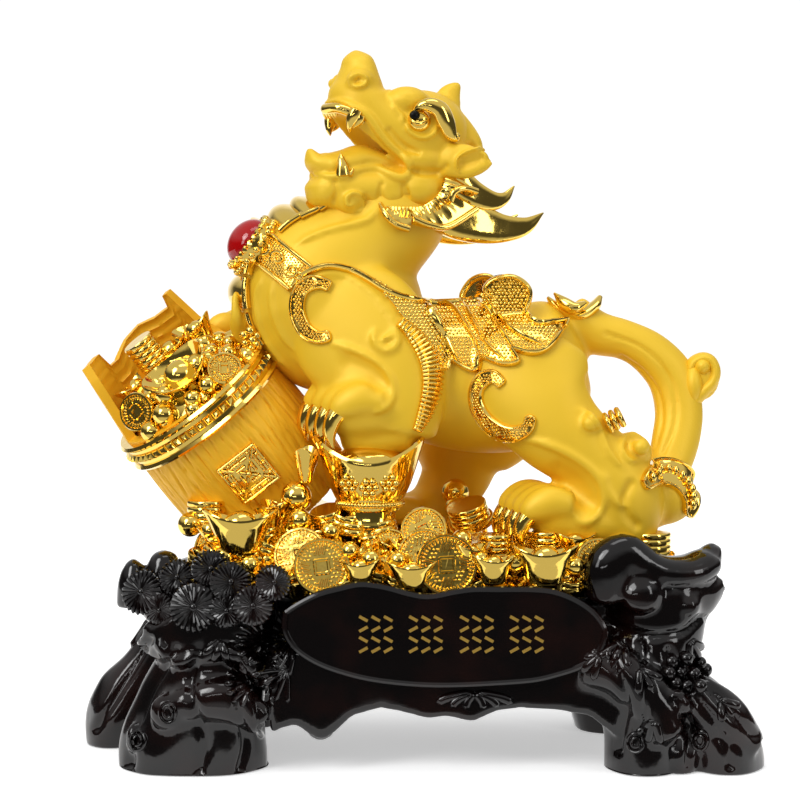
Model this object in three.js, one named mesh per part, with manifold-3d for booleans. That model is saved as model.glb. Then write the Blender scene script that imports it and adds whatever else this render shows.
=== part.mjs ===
import * as THREE from "three";
import { mergeVertices } from "three/addons/utils/BufferGeometryUtils.js";
import Module from "manifold-3d";

// A pixiu on a heap of treasure, on a root-carved base.
// Millimetres, +Z up, +X to the rump, -Y to the face side.

const FOOT_REACH = 164.5; // how far the outer root feet reach to each side
const DECK_BACK = 62; // back face of the base
const DECK_HEIGHT = 82; // the figure's own frame starts this high above the table
const TO_MIDDLE = 14.5; // brings the middle of the whole depth over the origin
const BEYOND = 200; // a cutting block reaches this far past what it cuts
const GAP = 0.3; // clearance between pieces that touch
const MIDLINE = -6; // plane of symmetry of the animal
const HEAD_TURN = 22; // degrees that the head looks to the face side
const HEAD_AT = [5, -6, 204]; // pivot of the head in the figure's frame
const SKIN_LIFT = 2; // height of laid-on ornament above the skin
const RIM_LIFT = 3.2; // height of its raised edges
const BARREL_RADIUS = 41;
const BAND_RADIUS = 44.5;
const SLACK = 0.3; // how far a joined surface may be eased to save points
const JEWEL = { at: [-81, -24, 166.5], radius: 12.5, height: 11, tilt: 54, turn: 10 };

const wasm = await Module();
wasm.setup();

function closedBody(positions, faces) {
  return new wasm.Manifold(
    new wasm.Mesh({ numProp: 3, vertProperties: positions, triVerts: faces }),
  );
}

// A closed three.js geometry as a solid.
function solid(geometry) {
  const plain = geometry.clone();
  plain.deleteAttribute("normal");
  plain.deleteAttribute("uv");
  const merged = mergeVertices(plain, 1e-4);
  return closedBody(merged.attributes.position.array, new Uint32Array(merged.index.array));
}

// The same solid, turned by degrees in the given order and then carried to its place.
function placed(made, at, [x, y, z] = [0, 0, 0], order = "ZYX") {
  const turn = new THREE.Euler(...[x, y, z].map(THREE.MathUtils.degToRad), order);
  const matrix = new THREE.Matrix4().makeRotationFromEuler(turn).setPosition(...at);
  const raw = made.getMesh();
  const positions = new THREE.BufferAttribute(raw.vertProperties, 3).applyMatrix4(matrix);
  return closedBody(positions.array, raw.triVerts);
}

function join(solids) {
  return solids.reduce((sum, next) => sum.add(next));
}

// A closed skin over rings that all have the same number of points, with a point at each end.
function skinOver(rings) {
  const sides = rings[0].length;
  const points = rings.flat();
  const faces = [];
  for (let r = 0; r + 1 < rings.length; r++) {
    for (let s = 0; s < sides; s++) {
      const a = r * sides + s;
      const b = r * sides + ((s + 1) % sides);
      faces.push(a, b, a + sides, b, b + sides, a + sides);
    }
  }
  const middle = (ring) =>
    ring.reduce((sum, p) => sum.add(p), new THREE.Vector3()).divideScalar(sides);
  const last = (rings.length - 1) * sides;
  points.push(middle(rings[0]), middle(rings[rings.length - 1]));
  for (let s = 0; s < sides; s++) {
    const next = (s + 1) % sides;
    faces.push(points.length - 2, next, s);
    faces.push(points.length - 1, last + s, last + next);
  }
  const geometry = new THREE.BufferGeometry().setFromPoints(points);
  geometry.setIndex(faces);
  const made = solid(geometry);
  if (made.volume() > 0) return made;
  for (let f = 0; f < faces.length; f += 3) {
    [faces[f + 1], faces[f + 2]] = [faces[f + 2], faces[f + 1]];
  }
  geometry.setIndex(faces);
  return solid(geometry);
}

// A rounded limb through stations [x, y, z, half height, half width]. Its height lies in the
// plane across the animal's side vector.
function limb(stations, { sides = 8, rings = 6, grow = 0, side = [0, 1, 0] } = {}) {
  const path = new THREE.CatmullRomCurve3(
    stations.map(([x, y, z]) => new THREE.Vector3(x, y, z)),
    false,
    "centripetal",
  );
  const sizes = new THREE.CatmullRomCurve3(
    stations.map(([, , , tall, wide]) => new THREE.Vector3(tall, wide, 0)),
    false,
    "catmullrom",
    0.3,
  );
  const reference = new THREE.Vector3(...side);
  const made = [];
  for (let r = 0; r < rings; r++) {
    const t = r / (rings - 1);
    const centre = path.getPoint(t);
    const along = path.getTangent(t);
    const size = sizes.getPoint(t);
    const across = reference.clone().addScaledVector(along, -reference.dot(along)).normalize();
    const up = new THREE.Vector3().crossVectors(along, across);
    const ring = [];
    for (let s = 0; s < sides; s++) {
      const angle = (2 * Math.PI * s) / sides;
      ring.push(
        centre
          .clone()
          .addScaledVector(up, Math.cos(angle) * (Math.max(size.x, 0.4) + grow))
          .addScaledVector(across, Math.sin(angle) * (Math.max(size.y, 0.4) + grow)),
      );
    }
    made.push(ring);
  }
  return skinOver(made);
}

function ball([x, y, z], [rx, ry, rz], sides = 7) {
  const geometry = new THREE.SphereGeometry(1, sides, Math.max(4, Math.round(sides * 0.6)));
  geometry.rotateX(Math.PI / 2);
  geometry.scale(rx, ry, rz);
  geometry.translate(x, y, z);
  return solid(geometry);
}

const bead = (at, radius, sides = 6) => ball(at, [radius, radius, radius], sides);

// A spike from a round foot to a point.
function spike(from, to, radius, sides = 5) {
  const start = new THREE.Vector3(...from);
  const way = new THREE.Vector3(...to).sub(start);
  const geometry = new THREE.ConeGeometry(radius, way.length(), sides);
  geometry.translate(0, way.length() / 2, 0);
  geometry.applyQuaternion(
    new THREE.Quaternion().setFromUnitVectors(new THREE.Vector3(0, 1, 0), way.normalize()),
  );
  geometry.translate(...from);
  return solid(geometry);
}

// An outline in X and Z carried from y0 to y1.
function prism(outline, y0, y1) {
  const shape = new THREE.Shape(outline.map(([x, z]) => new THREE.Vector2(x, z)));
  const geometry = new THREE.ExtrudeGeometry(shape, {
    depth: y1 - y0,
    bevelEnabled: false,
    curveSegments: 1,
  });
  geometry.rotateX(Math.PI / 2);
  geometry.translate(0, y1, 0);
  return solid(geometry);
}

const curveThrough = (points, count) =>
  new THREE.SplineCurve(points.map(([x, z]) => new THREE.Vector2(x, z))).getPoints(count);

// The outline of a stroke of a width that swells from its ends to its middle.
function stroke(points, width, { count = 10, ends = 0.45 } = {}) {
  const line = curveThrough(points, count);
  const left = [];
  const right = [];
  line.forEach((p, i) => {
    const before = line[Math.max(i - 1, 0)];
    const after = line[Math.min(i + 1, count)];
    const across = after.clone().sub(before).normalize().rotateAround(new THREE.Vector2(), Math.PI / 2);
    const half = (width / 2) * (ends + (1 - ends) * Math.sin((Math.PI * i) / count));
    left.push([p.x + across.x * half, p.y + across.y * half]);
    right.unshift([p.x - across.x * half, p.y - across.y * half]);
  });
  return [...left, ...right];
}

// The trunk from the rump to the throat, and the big muscles of the four legs.
const TRUNK = [
  [87, -6, 114.5, 8, 8],
  [84, -6, 113.5, 22, 20],
  [76, -6, 111, 31, 30],
  [63.5, -6, 106, 36, 37],
  [46.5, -6, 102, 38, 39],
  [26.5, -6, 101, 37.5, 38],
  [6.5, -6, 103.5, 36.5, 38],
  [-12.5, -6, 111.5, 38, 40],
  [-29.5, -6, 125.5, 45, 42],
  [-42, -6, 141, 48, 42],
  [-39.5, -6, 154, 43, 39],
  [-30, -6, 165, 35, 34],
  [-21, -6, 174, 31, 30],
  [-7.5, -6, 185.5, 26, 26],
  [-1.5, -6, 194.5, 18, 20],
];
const NEAR_SHOULDER = [
  [-51, -30, 148, 10, 6],
  [-44.5, -34, 141, 24, 12],
  [-31.5, -37, 127.5, 33, 15],
  [-17, -40, 109.5, 31, 17],
  [-11.5, -42, 92.5, 25, 17],
  [-13, -44, 76, 22, 15],
];
const FAR_SHOULDER = [
  [-39, 22, 146.5, 10, 6],
  [-41.5, 24, 136.5, 24, 12],
  [-50.5, 28, 127.5, 27, 15],
  [-67.5, 31, 123.5, 20, 15],
  [-84.5, 33, 124.5, 13, 13],
  [-97.5, 30, 121.5, 10, 12],
  [-107.5, 26, 115.5, 7, 9],
];
const NEAR_THIGH = [
  [62, -30, 128.5, 10, 6],
  [60.5, -36, 115.5, 28, 13],
  [63, -40, 95, 33, 16],
  [71.5, -42, 77, 28, 17],
  [85, -42, 61.5, 25, 17],
  [94, -42, 46, 24, 17],
  [96, -42, 32.5, 21, 15],
  [94, -42, 23, 15, 12],
];
const FAR_THIGH = [
  [60, 20, 121, 10, 6],
  [53, 26, 106, 28, 13],
  [38, 30, 82.5, 31, 16],
  [23.5, 31, 62, 24, 16],
  [19.5, 31, 47.5, 18, 14],
  [12, 30, 35, 15, 13],
  [4.5, 28, 26, 13, 12],
];
const TAIL = [
  [76, -6, 130.5, 12, 12],
  [89, -6, 123, 11, 11],
  [103, -6, 119.5, 10, 10],
  [116, -6, 112.5, 11, 10],
  [126.5, -6, 100.5, 12, 10],
  [130, -8, 84.5, 12, 10],
  [128, -12, 70, 12, 10],
  [123.5, -18, 56.5, 11, 10],
  [117, -26, 45.5, 12, 12],
  [115, -28, 36, 11, 12],
  [115, -28, 29, 5, 6],
];

// The bare body, grown by the given amount so that ornament can be cut from it.
function skin(grow) {
  return join([
    limb(TRUNK, { sides: 12, rings: 13, grow }),
    limb(NEAR_SHOULDER, { sides: 10, rings: 6, grow }),
    limb(FAR_SHOULDER, { sides: 7, rings: 6, grow }),
    limb(NEAR_THIGH, { sides: 10, rings: 7, grow }),
    limb(FAR_THIGH, { sides: 7, rings: 6, grow }),
  ]);
}

// Toes in a row, each one rounded over its knuckle and drawn out to a hooked claw.
function toes(first, last, count, radius, drop, reach) {
  const made = [];
  for (let i = 0; i < count; i++) {
    const t = i / (count - 1);
    const [x, y, z] = first.map((value, axis) => value + (last[axis] - value) * t);
    made.push(
      limb([
        [x + radius, y, z, radius * 0.6, radius * 0.5],
        [x - radius * 0.2, y, z, radius, radius * 0.75],
        [x - reach, y, z - drop * 0.45, radius * 0.5, radius * 0.5],
        [x - reach * 0.9, y, z - drop, 0.4, 0.4],
      ], { sides: 5, rings: 4 }),
    );
  }
  return join(made);
}

function paws() {
  return join([
    limb([
      [-2.5, -42, 87.5, 13, 13],
      [-15.5, -46, 87.5, 15, 15],
      [-30.5, -48, 88.5, 16, 15],
      [-40.5, -48, 91, 12, 12],
    ], { rings: 4 }),
    toes([-32, -60, 95], [-45, -34, 98], 4, 9, 21, 10),
    limb([
      [107.5, -40, 34, 10, 12],
      [88, -44, 33.5, 12, 15],
      [68.5, -48, 37, 13, 15],
      [56, -50, 40, 11, 12],
    ], { rings: 4 }),
    toes([60, -60, 43.5], [51, -34, 44.5], 4, 9, 21, 10),
    limb([
      [17.5, 28, 32, 12, 12],
      [2, 26, 30.5, 12, 13],
      [-9.5, 24, 29.5, 9, 11],
    ], { rings: 4 }),
    toes([-9.5, 14, 32.5], [-14.5, 36, 31.5], 2, 10, 15, 9),
  ]);
}

function tail() {
  const curl = [];
  const centre = [142.5, 106.5];
  for (let i = 0; i <= 8; i++) {
    const angle = THREE.MathUtils.degToRad(-105 + i * 48);
    const reach = 9 - i * 0.85;
    curl.push([
      centre[0] + Math.cos(angle) * reach * 0.75,
      MIDLINE,
      centre[1] + Math.sin(angle) * reach * 0.75,
      3.6 - i * 0.2,
      6,
    ]);
  }
  return join([
    limb(TAIL, { sides: 8, rings: 13 }),
    limb([[138, -6, 85.5, 3, 6], [140.5, -6, 93.5, 3.6, 6], ...curl.slice(0, 1)], { sides: 5, rings: 3 }),
    limb(curl, { sides: 5, rings: 8 }),
    ball([107.5, -40, 70], [6, 12, 7], 6),
    bead([83, -52, 79], 3.5),
  ]);
}

// The cut outlines of the plated ornament, seen from the face side.
const WING = [
  [-22, 150], [-11, 143.5], [1.5, 139.5], [15.5, 137.5], [29, 139.5],
  [38, 146], [45.5, 149], [53.5, 144], [51.5, 133.5], [57, 128],
  [70, 128.5], [65, 119.5], [56.5, 114.5], [45.5, 116], [48, 110],
  [38.5, 110], [30.5, 112], [29.5, 107], [22, 107.5], [14, 111.5],
  [11.5, 107], [6, 114.5], [-3.5, 126], [-13, 138],
];
const WING_EDGE = [
  [-60, 146], [-53, 153], [-42, 156], [-30.5, 153.5], [-16.5, 145],
  [-3, 140], [11, 137.5], [23, 138.5], [36, 144],
];
const WING_RIBS = [
  [[4.5, 135], [9, 125], [22, 110]],
  [[22.5, 135], [27, 123], [42.5, 112]],
  [[35, 136], [40.5, 126], [57, 117.5]],
];
const SHOULDER_SCROLL = [
  [-42.5, 146], [-52.5, 146.5], [-59, 140.5], [-60, 132.5], [-54.5, 125],
  [-46.5, 122], [-38.5, 125],
];
const RUMP_SCROLL = [
  [40.5, 100.5], [33.5, 102.5], [28.5, 95.5], [30, 85], [38.5, 78],
  [47, 76.5], [53, 83.5],
];
const SCROLLS = [[WING_EDGE, 5], [SHOULDER_SCROLL, 7], [RUMP_SCROLL, 8]];
const RUFFLE = [
  [-8.5, 127], [0, 119.5], [5, 110], [6, 99.5], [3, 88.5],
  [-1.5, 80],
];

// Ornament of the face side, or of the far side where it's carried round.
function ornament(y0, y1, grown, ridge, scrolls, ribs) {
  const lay = (outline, body) => prism(outline, y0, y1).intersect(body);
  return join([
    lay(WING, grown),
    ...scrolls.map(([line, width]) => lay(stroke(line, width, { count: 5 }), grown)),
    ...ribs.map((rib) => lay(stroke(rib, 2.6, { count: 2 }), ridge)),
  ]);
}

function ruffle(y0, y1, ridge) {
  const line = new THREE.SplineCurve(RUFFLE.map(([x, z]) => new THREE.Vector2(x, z)));
  const pleats = 7;
  const made = [];
  for (let i = 0; i < pleats; i++) {
    const t = (i + 0.5) / pleats;
    const p = line.getPoint(t);
    const along = line.getTangent(t);
    const reach = 4.6 * Math.sin(Math.PI * (0.15 + 0.75 * t)) + 0.8;
    const half = 2.2;
    const corner = (a, b) => [
      p.x + along.x * a * half - along.y * b * reach,
      p.y + along.y * a * half + along.x * b * reach,
    ];
    made.push(
      prism([corner(-1, -1), corner(1, -1), corner(1, 1), corner(-1, 1)], y0, y1).intersect(ridge),
    );
  }
  return join(made);
}

// Plates down the throat and the chest.
function bellyPlates() {
  const front = [
    [-54.5, -14, 183.5], [-67.5, -16, 176.5], [-84.5, -18, 155], [-86, -18, 141], [-83, -18, 126.5],
  ];
  return join(front.map(([x, y, z]) => ball([x, y, z], [9, 17, 10], 5)));
}

// The strap that carries the jewel, with its rope bezel.
function collar(ridge) {
  const outline = [[-81, 161.5], [-72.5, 173], [-49.5, 154.5], [-60, 143.5]];
  return prism(outline, -70, 60).intersect(ridge).add(jewelPlace(jewelBezel()));
}

function jewelPlace(made) {
  return placed(made, JEWEL.at, [0, -JEWEL.tilt, JEWEL.turn]);
}

function jewelBezel() {
  const rim = [
    [0, -9], [15.5, -9], [15.8, 1.2], [JEWEL.radius + GAP, 1.2],
    [JEWEL.radius + GAP, -GAP], [0, -GAP],
  ];
  const geometry = new THREE.LatheGeometry(rim.map(([r, z]) => new THREE.Vector2(r, z)), 14);
  geometry.rotateX(Math.PI / 2);
  return solid(geometry);
}

// The room that the stone takes up, with its clearance all round.
function jewelRoom() {
  const reach = JEWEL.radius + GAP;
  const rows = [[0, -GAP], [reach, -GAP], [reach, JEWEL.height + 4], [0, JEWEL.height + 4]];
  const geometry = new THREE.LatheGeometry(rows.map(([r, z]) => new THREE.Vector2(r, z)), 14);
  geometry.rotateX(Math.PI / 2);
  return jewelPlace(solid(geometry));
}

function jewel() {
  const rows = [[0, 0], [JEWEL.radius, 0]];
  for (let i = 0; i <= 4; i++) {
    const angle = (Math.PI / 2) * (i / 4);
    rows.push([JEWEL.radius * Math.cos(angle), 1 + (JEWEL.height - 1) * Math.sin(angle)]);
  }
  rows[rows.length - 1][0] = 0;
  const geometry = new THREE.LatheGeometry(rows.map(([r, z]) => new THREE.Vector2(r, z)), 14);
  geometry.rotateX(Math.PI / 2);
  return jewelPlace(solid(geometry));
}

// The head, in its own frame: +X to the back of the skull, -Y to the face side, then turned.
const UPPER_HEAD = [
  [-38, 0, 56, 3, 3],
  [-37.5, 0, 53, 7, 8],
  [-36.5, 0, 48, 8.8, 11],
  [-36.5, 0, 41, 11.5, 14],
  [-36.5, 0, 34, 15, 17],
  [-31.5, 0, 26.5, 16, 19],
  [-21.5, 0, 20, 18, 22],
  [-9.5, 0, 17, 22, 26],
  [2, 0, 15, 22, 25],
  [12, 0, 12.5, 16, 18],
  [17, 0, 11, 6, 7],
];
const LOWER_JAW = [
  [6.5, 0, -6, 12, 18],
  [-6.5, 0, -8, 13, 23],
  [-19, 0, -9, 12, 20],
  [-33, 0, -10.5, 11.5, 17],
  [-45.5, 0, -10.5, 11, 15],
  [-54.5, 0, -10, 10, 13],
  [-60, 0, -8.5, 6, 9],
  [-61.5, 0, -7.5, 2, 4],
];

const bothSides = (make) => [make(1), make(-1)];

function head() {
  const upper = limb(UPPER_HEAD, { sides: 9, rings: 11 });
  const mouth = limb([
    [-51.5, 0, 21, 5, 8],
    [-42.5, 0, 16.5, 8, 11],
    [-31, 0, 8, 8, 12],
    [-19, 0, 0.5, 5, 11],
  ], { sides: 6, rings: 4 });
  const jaw = limb(LOWER_JAW, { sides: 8, rings: 7 });
  const parts = [
    upper.subtract(mouth),
    jaw,
    limb([
      [-54.5, 0, -7, 4, 11],
      [-58, 0, 0, 2.6, 9],
      [-61.5, 0, 7.5, 1, 4],
    ], { sides: 5, rings: 3 }),
    limb([
      [-15, 0, -1.5, 4, 8],
      [-29.5, 0, 3.5, 4, 8],
      [-40, 0, 8.5, 1.5, 5],
    ], { sides: 5, rings: 4 }),
    crest(),
  ];
  parts.push(...faceSide(1), ...faceSide(-1), ...nearFace());
  parts.push(...chin(), ...mane());
  return placed(join(parts), HEAD_AT, [0, 0, HEAD_TURN]);
}

// The features that the two sides of the face share, for the near side (1) or the far one (-1).
function faceSide(s) {
  const turn = ([x, y, z]) => [x, y * s, z];
  const flip = (stations) => stations.map(([x, y, z, ...size]) => [x, y * s, z, ...size]);
  return [
    ball(turn([-39, -11, 40.5]), [7, 4, 5.5], 6),
    ball(turn([-17, -15, 31.5]), [11, 9, 7], 6),
    bead(turn([-13.5, -22, 21]), 6.5, 7),
    limb(flip([
      [1, -20, 3, 7, 3],
      [7.5, -25, 3, 8, 3.4],
      [14.5, -30, 3.5, 7, 2.4],
      [20, -32, 2.5, 2, 1],
    ]), { sides: 5, rings: 4 }),
    ball(turn([-10.5, -19, -9]), [11.5, 8, 10.5], 7),
    spike(turn([-43, -14, 25]), turn([-46, -12, 16.5]), 3.2, 4),
    spike(turn([-49.5, -11, -3.5]), turn([-49.5, -11, 6.5]), 3, 4),
  ];
}

// The plated eyebrow, the lip and the chin curl of the face side.
function nearFace() {
  return [
    limb([
      [-18.5, -20, 27.5, 2, 2.5],
      [-12.5, -25, 28.5, 3, 3],
      [-5, -26, 25.5, 3.4, 3],
      [0.5, -25, 18, 3, 3],
      [5, -24, 12.5, 2, 2],
    ], { sides: 5, rings: 5 }),
    limb([
      [-50, -11, 30.5, 2, 2.5],
      [-41.5, -15, 27, 2.4, 2.5],
      [-34.5, -17, 20, 2.6, 2.5],
      [-29.5, -18, 10.5, 2.6, 2.5],
      [-17, -20, -3, 2.5, 2.5],
    ], { sides: 4, rings: 5 }),
    ball([-47.5, -10, -18], [8, 6, 7], 6),
  ];
}

function crest() {
  return limb([
    [10.5, 0, 20, 14, 8],
    [14.5, 0, 28, 10, 6],
    [17, 0, 36, 4.5, 3.5],
    [18.5, 0, 40, 1.5, 1.5],
  ], { sides: 5, rings: 4 });
}

function chin() {
  return [
    ball([-56, 0, -12.5], [8, 11, 8], 6),
    ball([-35, 0, -19], [13, 13, 6], 6),
  ];
}

// Collar of scalloped plates below the cheeks, and the flying locks behind them.
function mane() {
  const made = [];
  for (const s of [1, -1]) {
    const flip = (stations) => stations.map(([x, y, z, ...size]) => [x, y * s, z, ...size]);
    made.push(
      limb(flip([
        [-29.5, -18, -19.5, 2, 3],
        [-21, -20, -25.5, 6, 4],
        [-11, -21, -27.5, 7.5, 5],
        [2.5, -22, -22.5, 8, 5],
        [15.5, -21, -16.5, 5, 4],
      ]), { sides: 5, rings: 4 }),
      limb(flip([
        [5.5, -17, -4.5, 8, 4],
        [15, -18, -11.5, 8, 4],
        [25.5, -18, -15, 5.5, 3.2],
        [34, -17, -13.5, 3, 2],
        [39.5, -16, -9, 0.6, 0.6],
      ]), { sides: 5, rings: 4 }),
      limb(flip([
        [6, -14, -18.5, 12, 4],
        [18.5, -16, -26, 10.5, 4],
        [33, -16, -28.5, 8, 3.4],
        [45.5, -16, -27, 5, 2.4],
        [56, -15, -22, 0.6, 0.6],
      ]), { sides: 5, rings: 4 }),
    );
  }
  return made;
}

// Crest scrolls on the back and the rump, and the crescent on the tail.
function scrolls() {
  return join([
    limb([
      [22.5, 6, 137.5, 2.4, 4], [26, 8, 145, 3, 5], [32, 8, 149.5, 3, 5], [37.5, 6, 147, 2.4, 4],
    ], { sides: 5, rings: 5 }),
    limb([
      [40.5, -26, 139.5, 3, 5], [37.5, -24, 145, 3, 5], [44.5, -22, 148.5, 3, 5],
      [52, -24, 145, 3, 5], [52.5, -30, 136.5, 3, 5],
    ], { sides: 5, rings: 6 }),
    limb([
      [65, -8, 140, 2, 7], [70.5, -10, 135.5, 3.4, 9], [79, -10, 134, 3.4, 9],
      [86.5, -9, 136.5, 2.6, 6], [90, -8, 140.5, 1.2, 2],
    ], { sides: 5, rings: 5 }),
    limb([
      [110, -36, 50.5, 2, 3], [115.5, -38, 56.5, 3.6, 6], [125, -36, 55.5, 4.2, 7],
      [133.5, -32, 49, 4, 7], [134.5, -32, 41, 3, 5], [132, -32, 36.5, 1.2, 2],
    ], { sides: 5, rings: 6 }),
    limb([
      [90, -40, 81.5, 3.6, 4], [94.5, -42, 82.5, 4.6, 5], [101.5, -42, 82, 4, 4.4],
    ], { sides: 6, rings: 3 }),
  ]);
}

// The tilted treasure barrel. Its staves end in a low rim to the face side and two tall ears.
const BARREL = { at: [-107.5, -16, 89.5], lean: 37.6, nod: 14 };

function rimHeight(angle) {
  const peak = (at, width) => Math.exp(-(((angle - at) / width) ** 2));
  const back = 33 * Math.max(0, Math.sin(angle)) ** 0.5;
  return 8 + back + 18 * peak(0.85, 0.3) + 26 * peak(2.86, 0.26);
}

function barrelWall() {
  const sides = 22;
  const rows = [
    [0.93, -68], [1.02, -34], [1.02, 0],
  ];
  const outer = rows.map(([share, z]) => ringAt(sides, () => [BARREL_RADIUS * share, z]));
  const top = ringAt(sides, (a) => [BARREL_RADIUS * 0.99 - rimHeight(a) * 0.13, rimHeight(a)]);
  const inside = ringAt(sides, (a) => [BARREL_RADIUS * 0.99 - 4 - rimHeight(a) * 0.13, rimHeight(a)]);
  const floor = ringAt(sides, () => [BARREL_RADIUS - 7, 1]);
  return skinOver([...outer, top, inside, floor]);
}

function ringAt(sides, profile) {
  const ring = [];
  for (let s = 0; s < sides; s++) {
    const angle = (2 * Math.PI * s) / sides;
    const [radius, z] = profile(angle);
    ring.push(new THREE.Vector3(Math.cos(angle) * radius, Math.sin(angle) * radius, z));
  }
  return ring;
}

function band() {
  const rim = [
    [BARREL_RADIUS - 3, -5], [BAND_RADIUS, -5], [BAND_RADIUS, 5], [BARREL_RADIUS - 1.5, 5],
  ];
  const geometry = new THREE.LatheGeometry(
    [...rim, rim[0]].map(([r, z]) => new THREE.Vector2(r, z)), 22,
  );
  geometry.rotateX(Math.PI / 2);
  return solid(geometry);
}

function barrelEmblem() {
  const geometry = new THREE.CylinderGeometry(13, 14, 3, 4);
  geometry.rotateX(Math.PI / 2);
  geometry.rotateX(Math.PI / 2);
  geometry.translate(0, -BARREL_RADIUS - 1, -32);
  return solid(geometry);
}

function barrel() {
  const mound = [
    ball([0, 0, 3], [39, 39, 25], 10),
    ingot([1, -18, 26], 34, 22, 14, 8),
    bead([-25, -4, 21], 8), bead([-12, 0, 27], 8), bead([8, 6, 27], 8), bead([23, 0, 22], 8),
    coin([-21, -18, 19], 9, [-0.3, -0.8, 0.6], false),
  ];
  const whole = join([barrelWall(), band(), barrelEmblem(), ...mound]);
  return placed(whole, BARREL.at, [BARREL.nod, -BARREL.lean, 0], "YXZ");
}

// A round coin with a square hole, facing the given way.
function coin(at, radius, facing, pierced = true) {
  const thickness = 3.4;
  const disc = new THREE.CylinderGeometry(radius, radius, thickness, 12);
  const hole = new THREE.CylinderGeometry(radius * 0.28, radius * 0.28, 1.2, 4);
  hole.translate(0, thickness / 2, 0);
  const turn = new THREE.Quaternion().setFromUnitVectors(
    new THREE.Vector3(0, 1, 0), new THREE.Vector3(...facing).normalize(),
  );
  const place = (geometry) => solid(geometry.applyQuaternion(turn).translate(...at));
  return pierced ? place(disc).subtract(place(hole)) : place(disc);
}

// A boat-shaped ingot with upturned ends and a dome in its middle.
function ingot(at, length, width, height, turn) {
  const sides = 10;
  const level = (share, rise, lift) =>
    ringAt(sides, () => [1, 0]).map((p) =>
      new THREE.Vector3(
        p.x * (length / 2) * share,
        p.y * (width / 2) * Math.min(1, share * 1.1),
        height * rise + lift * p.x * p.x,
      ),
    );
  const hull = skinOver([
    level(0.5, -0.5, 0), level(0.7, 0, height * 0.05),
    level(1, 0.5, height * 0.3), level(0.9, 0.42, height * 0.3), level(0.5, 0.2, 0),
  ]);
  const dome = ball([0, 0, height * 0.3], [length * 0.24, width * 0.33, height * 0.5], 6);
  return placed(hull.add(dome), at, [0, 0, turn]);
}

// The heap under the animal, the stacks, coins, ingots and beads that show round it.
function heap() {
  const core = prism(
    [
      [-111, -9.5], [-113, 30], [-99.5, 38.5], [-57.5, 51], [-35.5, 38.5],
      [-8.5, 33.5], [11.5, 26], [43.5, 21], [100, 21], [123.5, 20],
      [124, -9.5],
    ],
    -62, 50,
  );
  const bed = prism([[-104.5, -5.5], [-102.5, 15], [106.5, 12], [111.5, -5.5]], -74, 56);
  const made = [core, bed];
  const coins = [
    [[-55, -70, 20], 13, [-0.25, -1, 0.3]], [[-45, -74, 14.5], 13.2, [0.1, -1, 0.25]],
    [[3, -66, 31.5], 11, [-0.1, -1, 0.35]], [[13.5, -74, 15.5], 14, [0.05, -1, 0.18]],
    [[3, -71, 19.5], 13, [-0.3, -1, 0.25]], [[85.5, -68, 16.5], 11, [0.2, -1, 0.3]],
    [[-58, 50, 14], 12, [-0.2, 1, 0.5]], [[26, 51, 15], 12, [0.2, 1, 0.5]],
  ];
  coins.forEach(([at, radius, facing], i) => made.push(coin(at, radius, facing, i % 2 === 1)));
  made.push(
    bigIngot(),
    ingot([-83, -66, 26.5], 32, 20, 14, 0),
    ingot([60, -70, 13], 32, 18, 14, 0), ingot([-16, 46, 24], 34, 20, 15, 6),
    bead([-58, -50, 45.5], 8, 7), bead([-110, -40, 31.5], 6), bead([-69.5, -74, 7], 6),
    ball([-22, -74, 18], [5, 4, 7], 6), bead([-6, -76, 10.5], 6),
    ball([35.5, -74, 13.5], [9, 6, 6], 6), bead([-53.5, -44, 61], 8),
  );
  const stacks = [
    [[37, -58, 20], 9, 9], [[62.5, -52, 22.5], 12, 9], [[112, -44, 21.5], 10, 12],
    [[-101.5, -36, 33], 10, 16],
  ];
  stacks.forEach(([[x, y, z], radius, height]) => {
    const geometry = new THREE.CylinderGeometry(radius, radius, height, 10);
    geometry.rotateX(Math.PI / 2);
    geometry.translate(x, y, z);
    made.push(solid(geometry));
  });
  return join(made).intersect(seat(GAP, 0, BEYOND));
}

// The pedestal ingot under the near front paw.
function bigIngot() {
  const sides = 12;
  const level = (halfLength, halfWidth, z, lift) =>
    ringAt(sides, () => [1, 0]).map((p) =>
      new THREE.Vector3(p.x * halfLength, p.y * halfWidth, z + lift * p.x * p.x),
    );
  const hull = skinOver([
    level(16, 15, -40, 0), level(16, 15, -20, 0), level(18, 16, -18, 0),
    level(23, 18, 0, 2), level(30, 21, 14, 5), level(27, 19, 13, 5), level(20, 15, 8, 2),
  ]);
  return placed(hull, [-24, -46, 58]);
}

function figure() {
  const body = skin(0);
  const grown = skin(SKIN_LIFT);
  const ridge = skin(RIM_LIFT);
  return join([
    body,
    paws(),
    tail(),
    ornament(-75, MIDLINE, grown, ridge, SCROLLS, WING_RIBS),
    ornament(MIDLINE, 75, grown, ridge, SCROLLS.slice(2), []),
    ruffle(-75, -30, grown),
    bellyPlates(),
    collar(grown),
    scrolls(),
    head(),
    barrel(),
    heap(),
  ]).subtract(jewelRoom());
}

// The base: a deck with an arched apron all round, root feet, burls, pine tufts and a name panel.
const PANEL_FACE = -82;
const PANEL_BACK = -78.5;
const SEAT = [
  [-113, -70], [-104, -77], [70, -77], [88, -70], [100, -60], [124, -52], [128, 0], [120, 56],
  [-100, 56], [-116, 20],
];

// The place that the heap fills: both it and the base are cut to this footprint.
function seat(inset, z0, z1) {
  const shape = new THREE.Shape(
    SEAT.map(([x, y]) => new THREE.Vector2(x - Math.sign(x) * inset, y - Math.sign(y) * inset)),
  );
  const geometry = new THREE.ExtrudeGeometry(shape, { depth: z1 - z0, bevelEnabled: false });
  geometry.translate(0, 0, z0);
  return solid(geometry);
}

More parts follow.
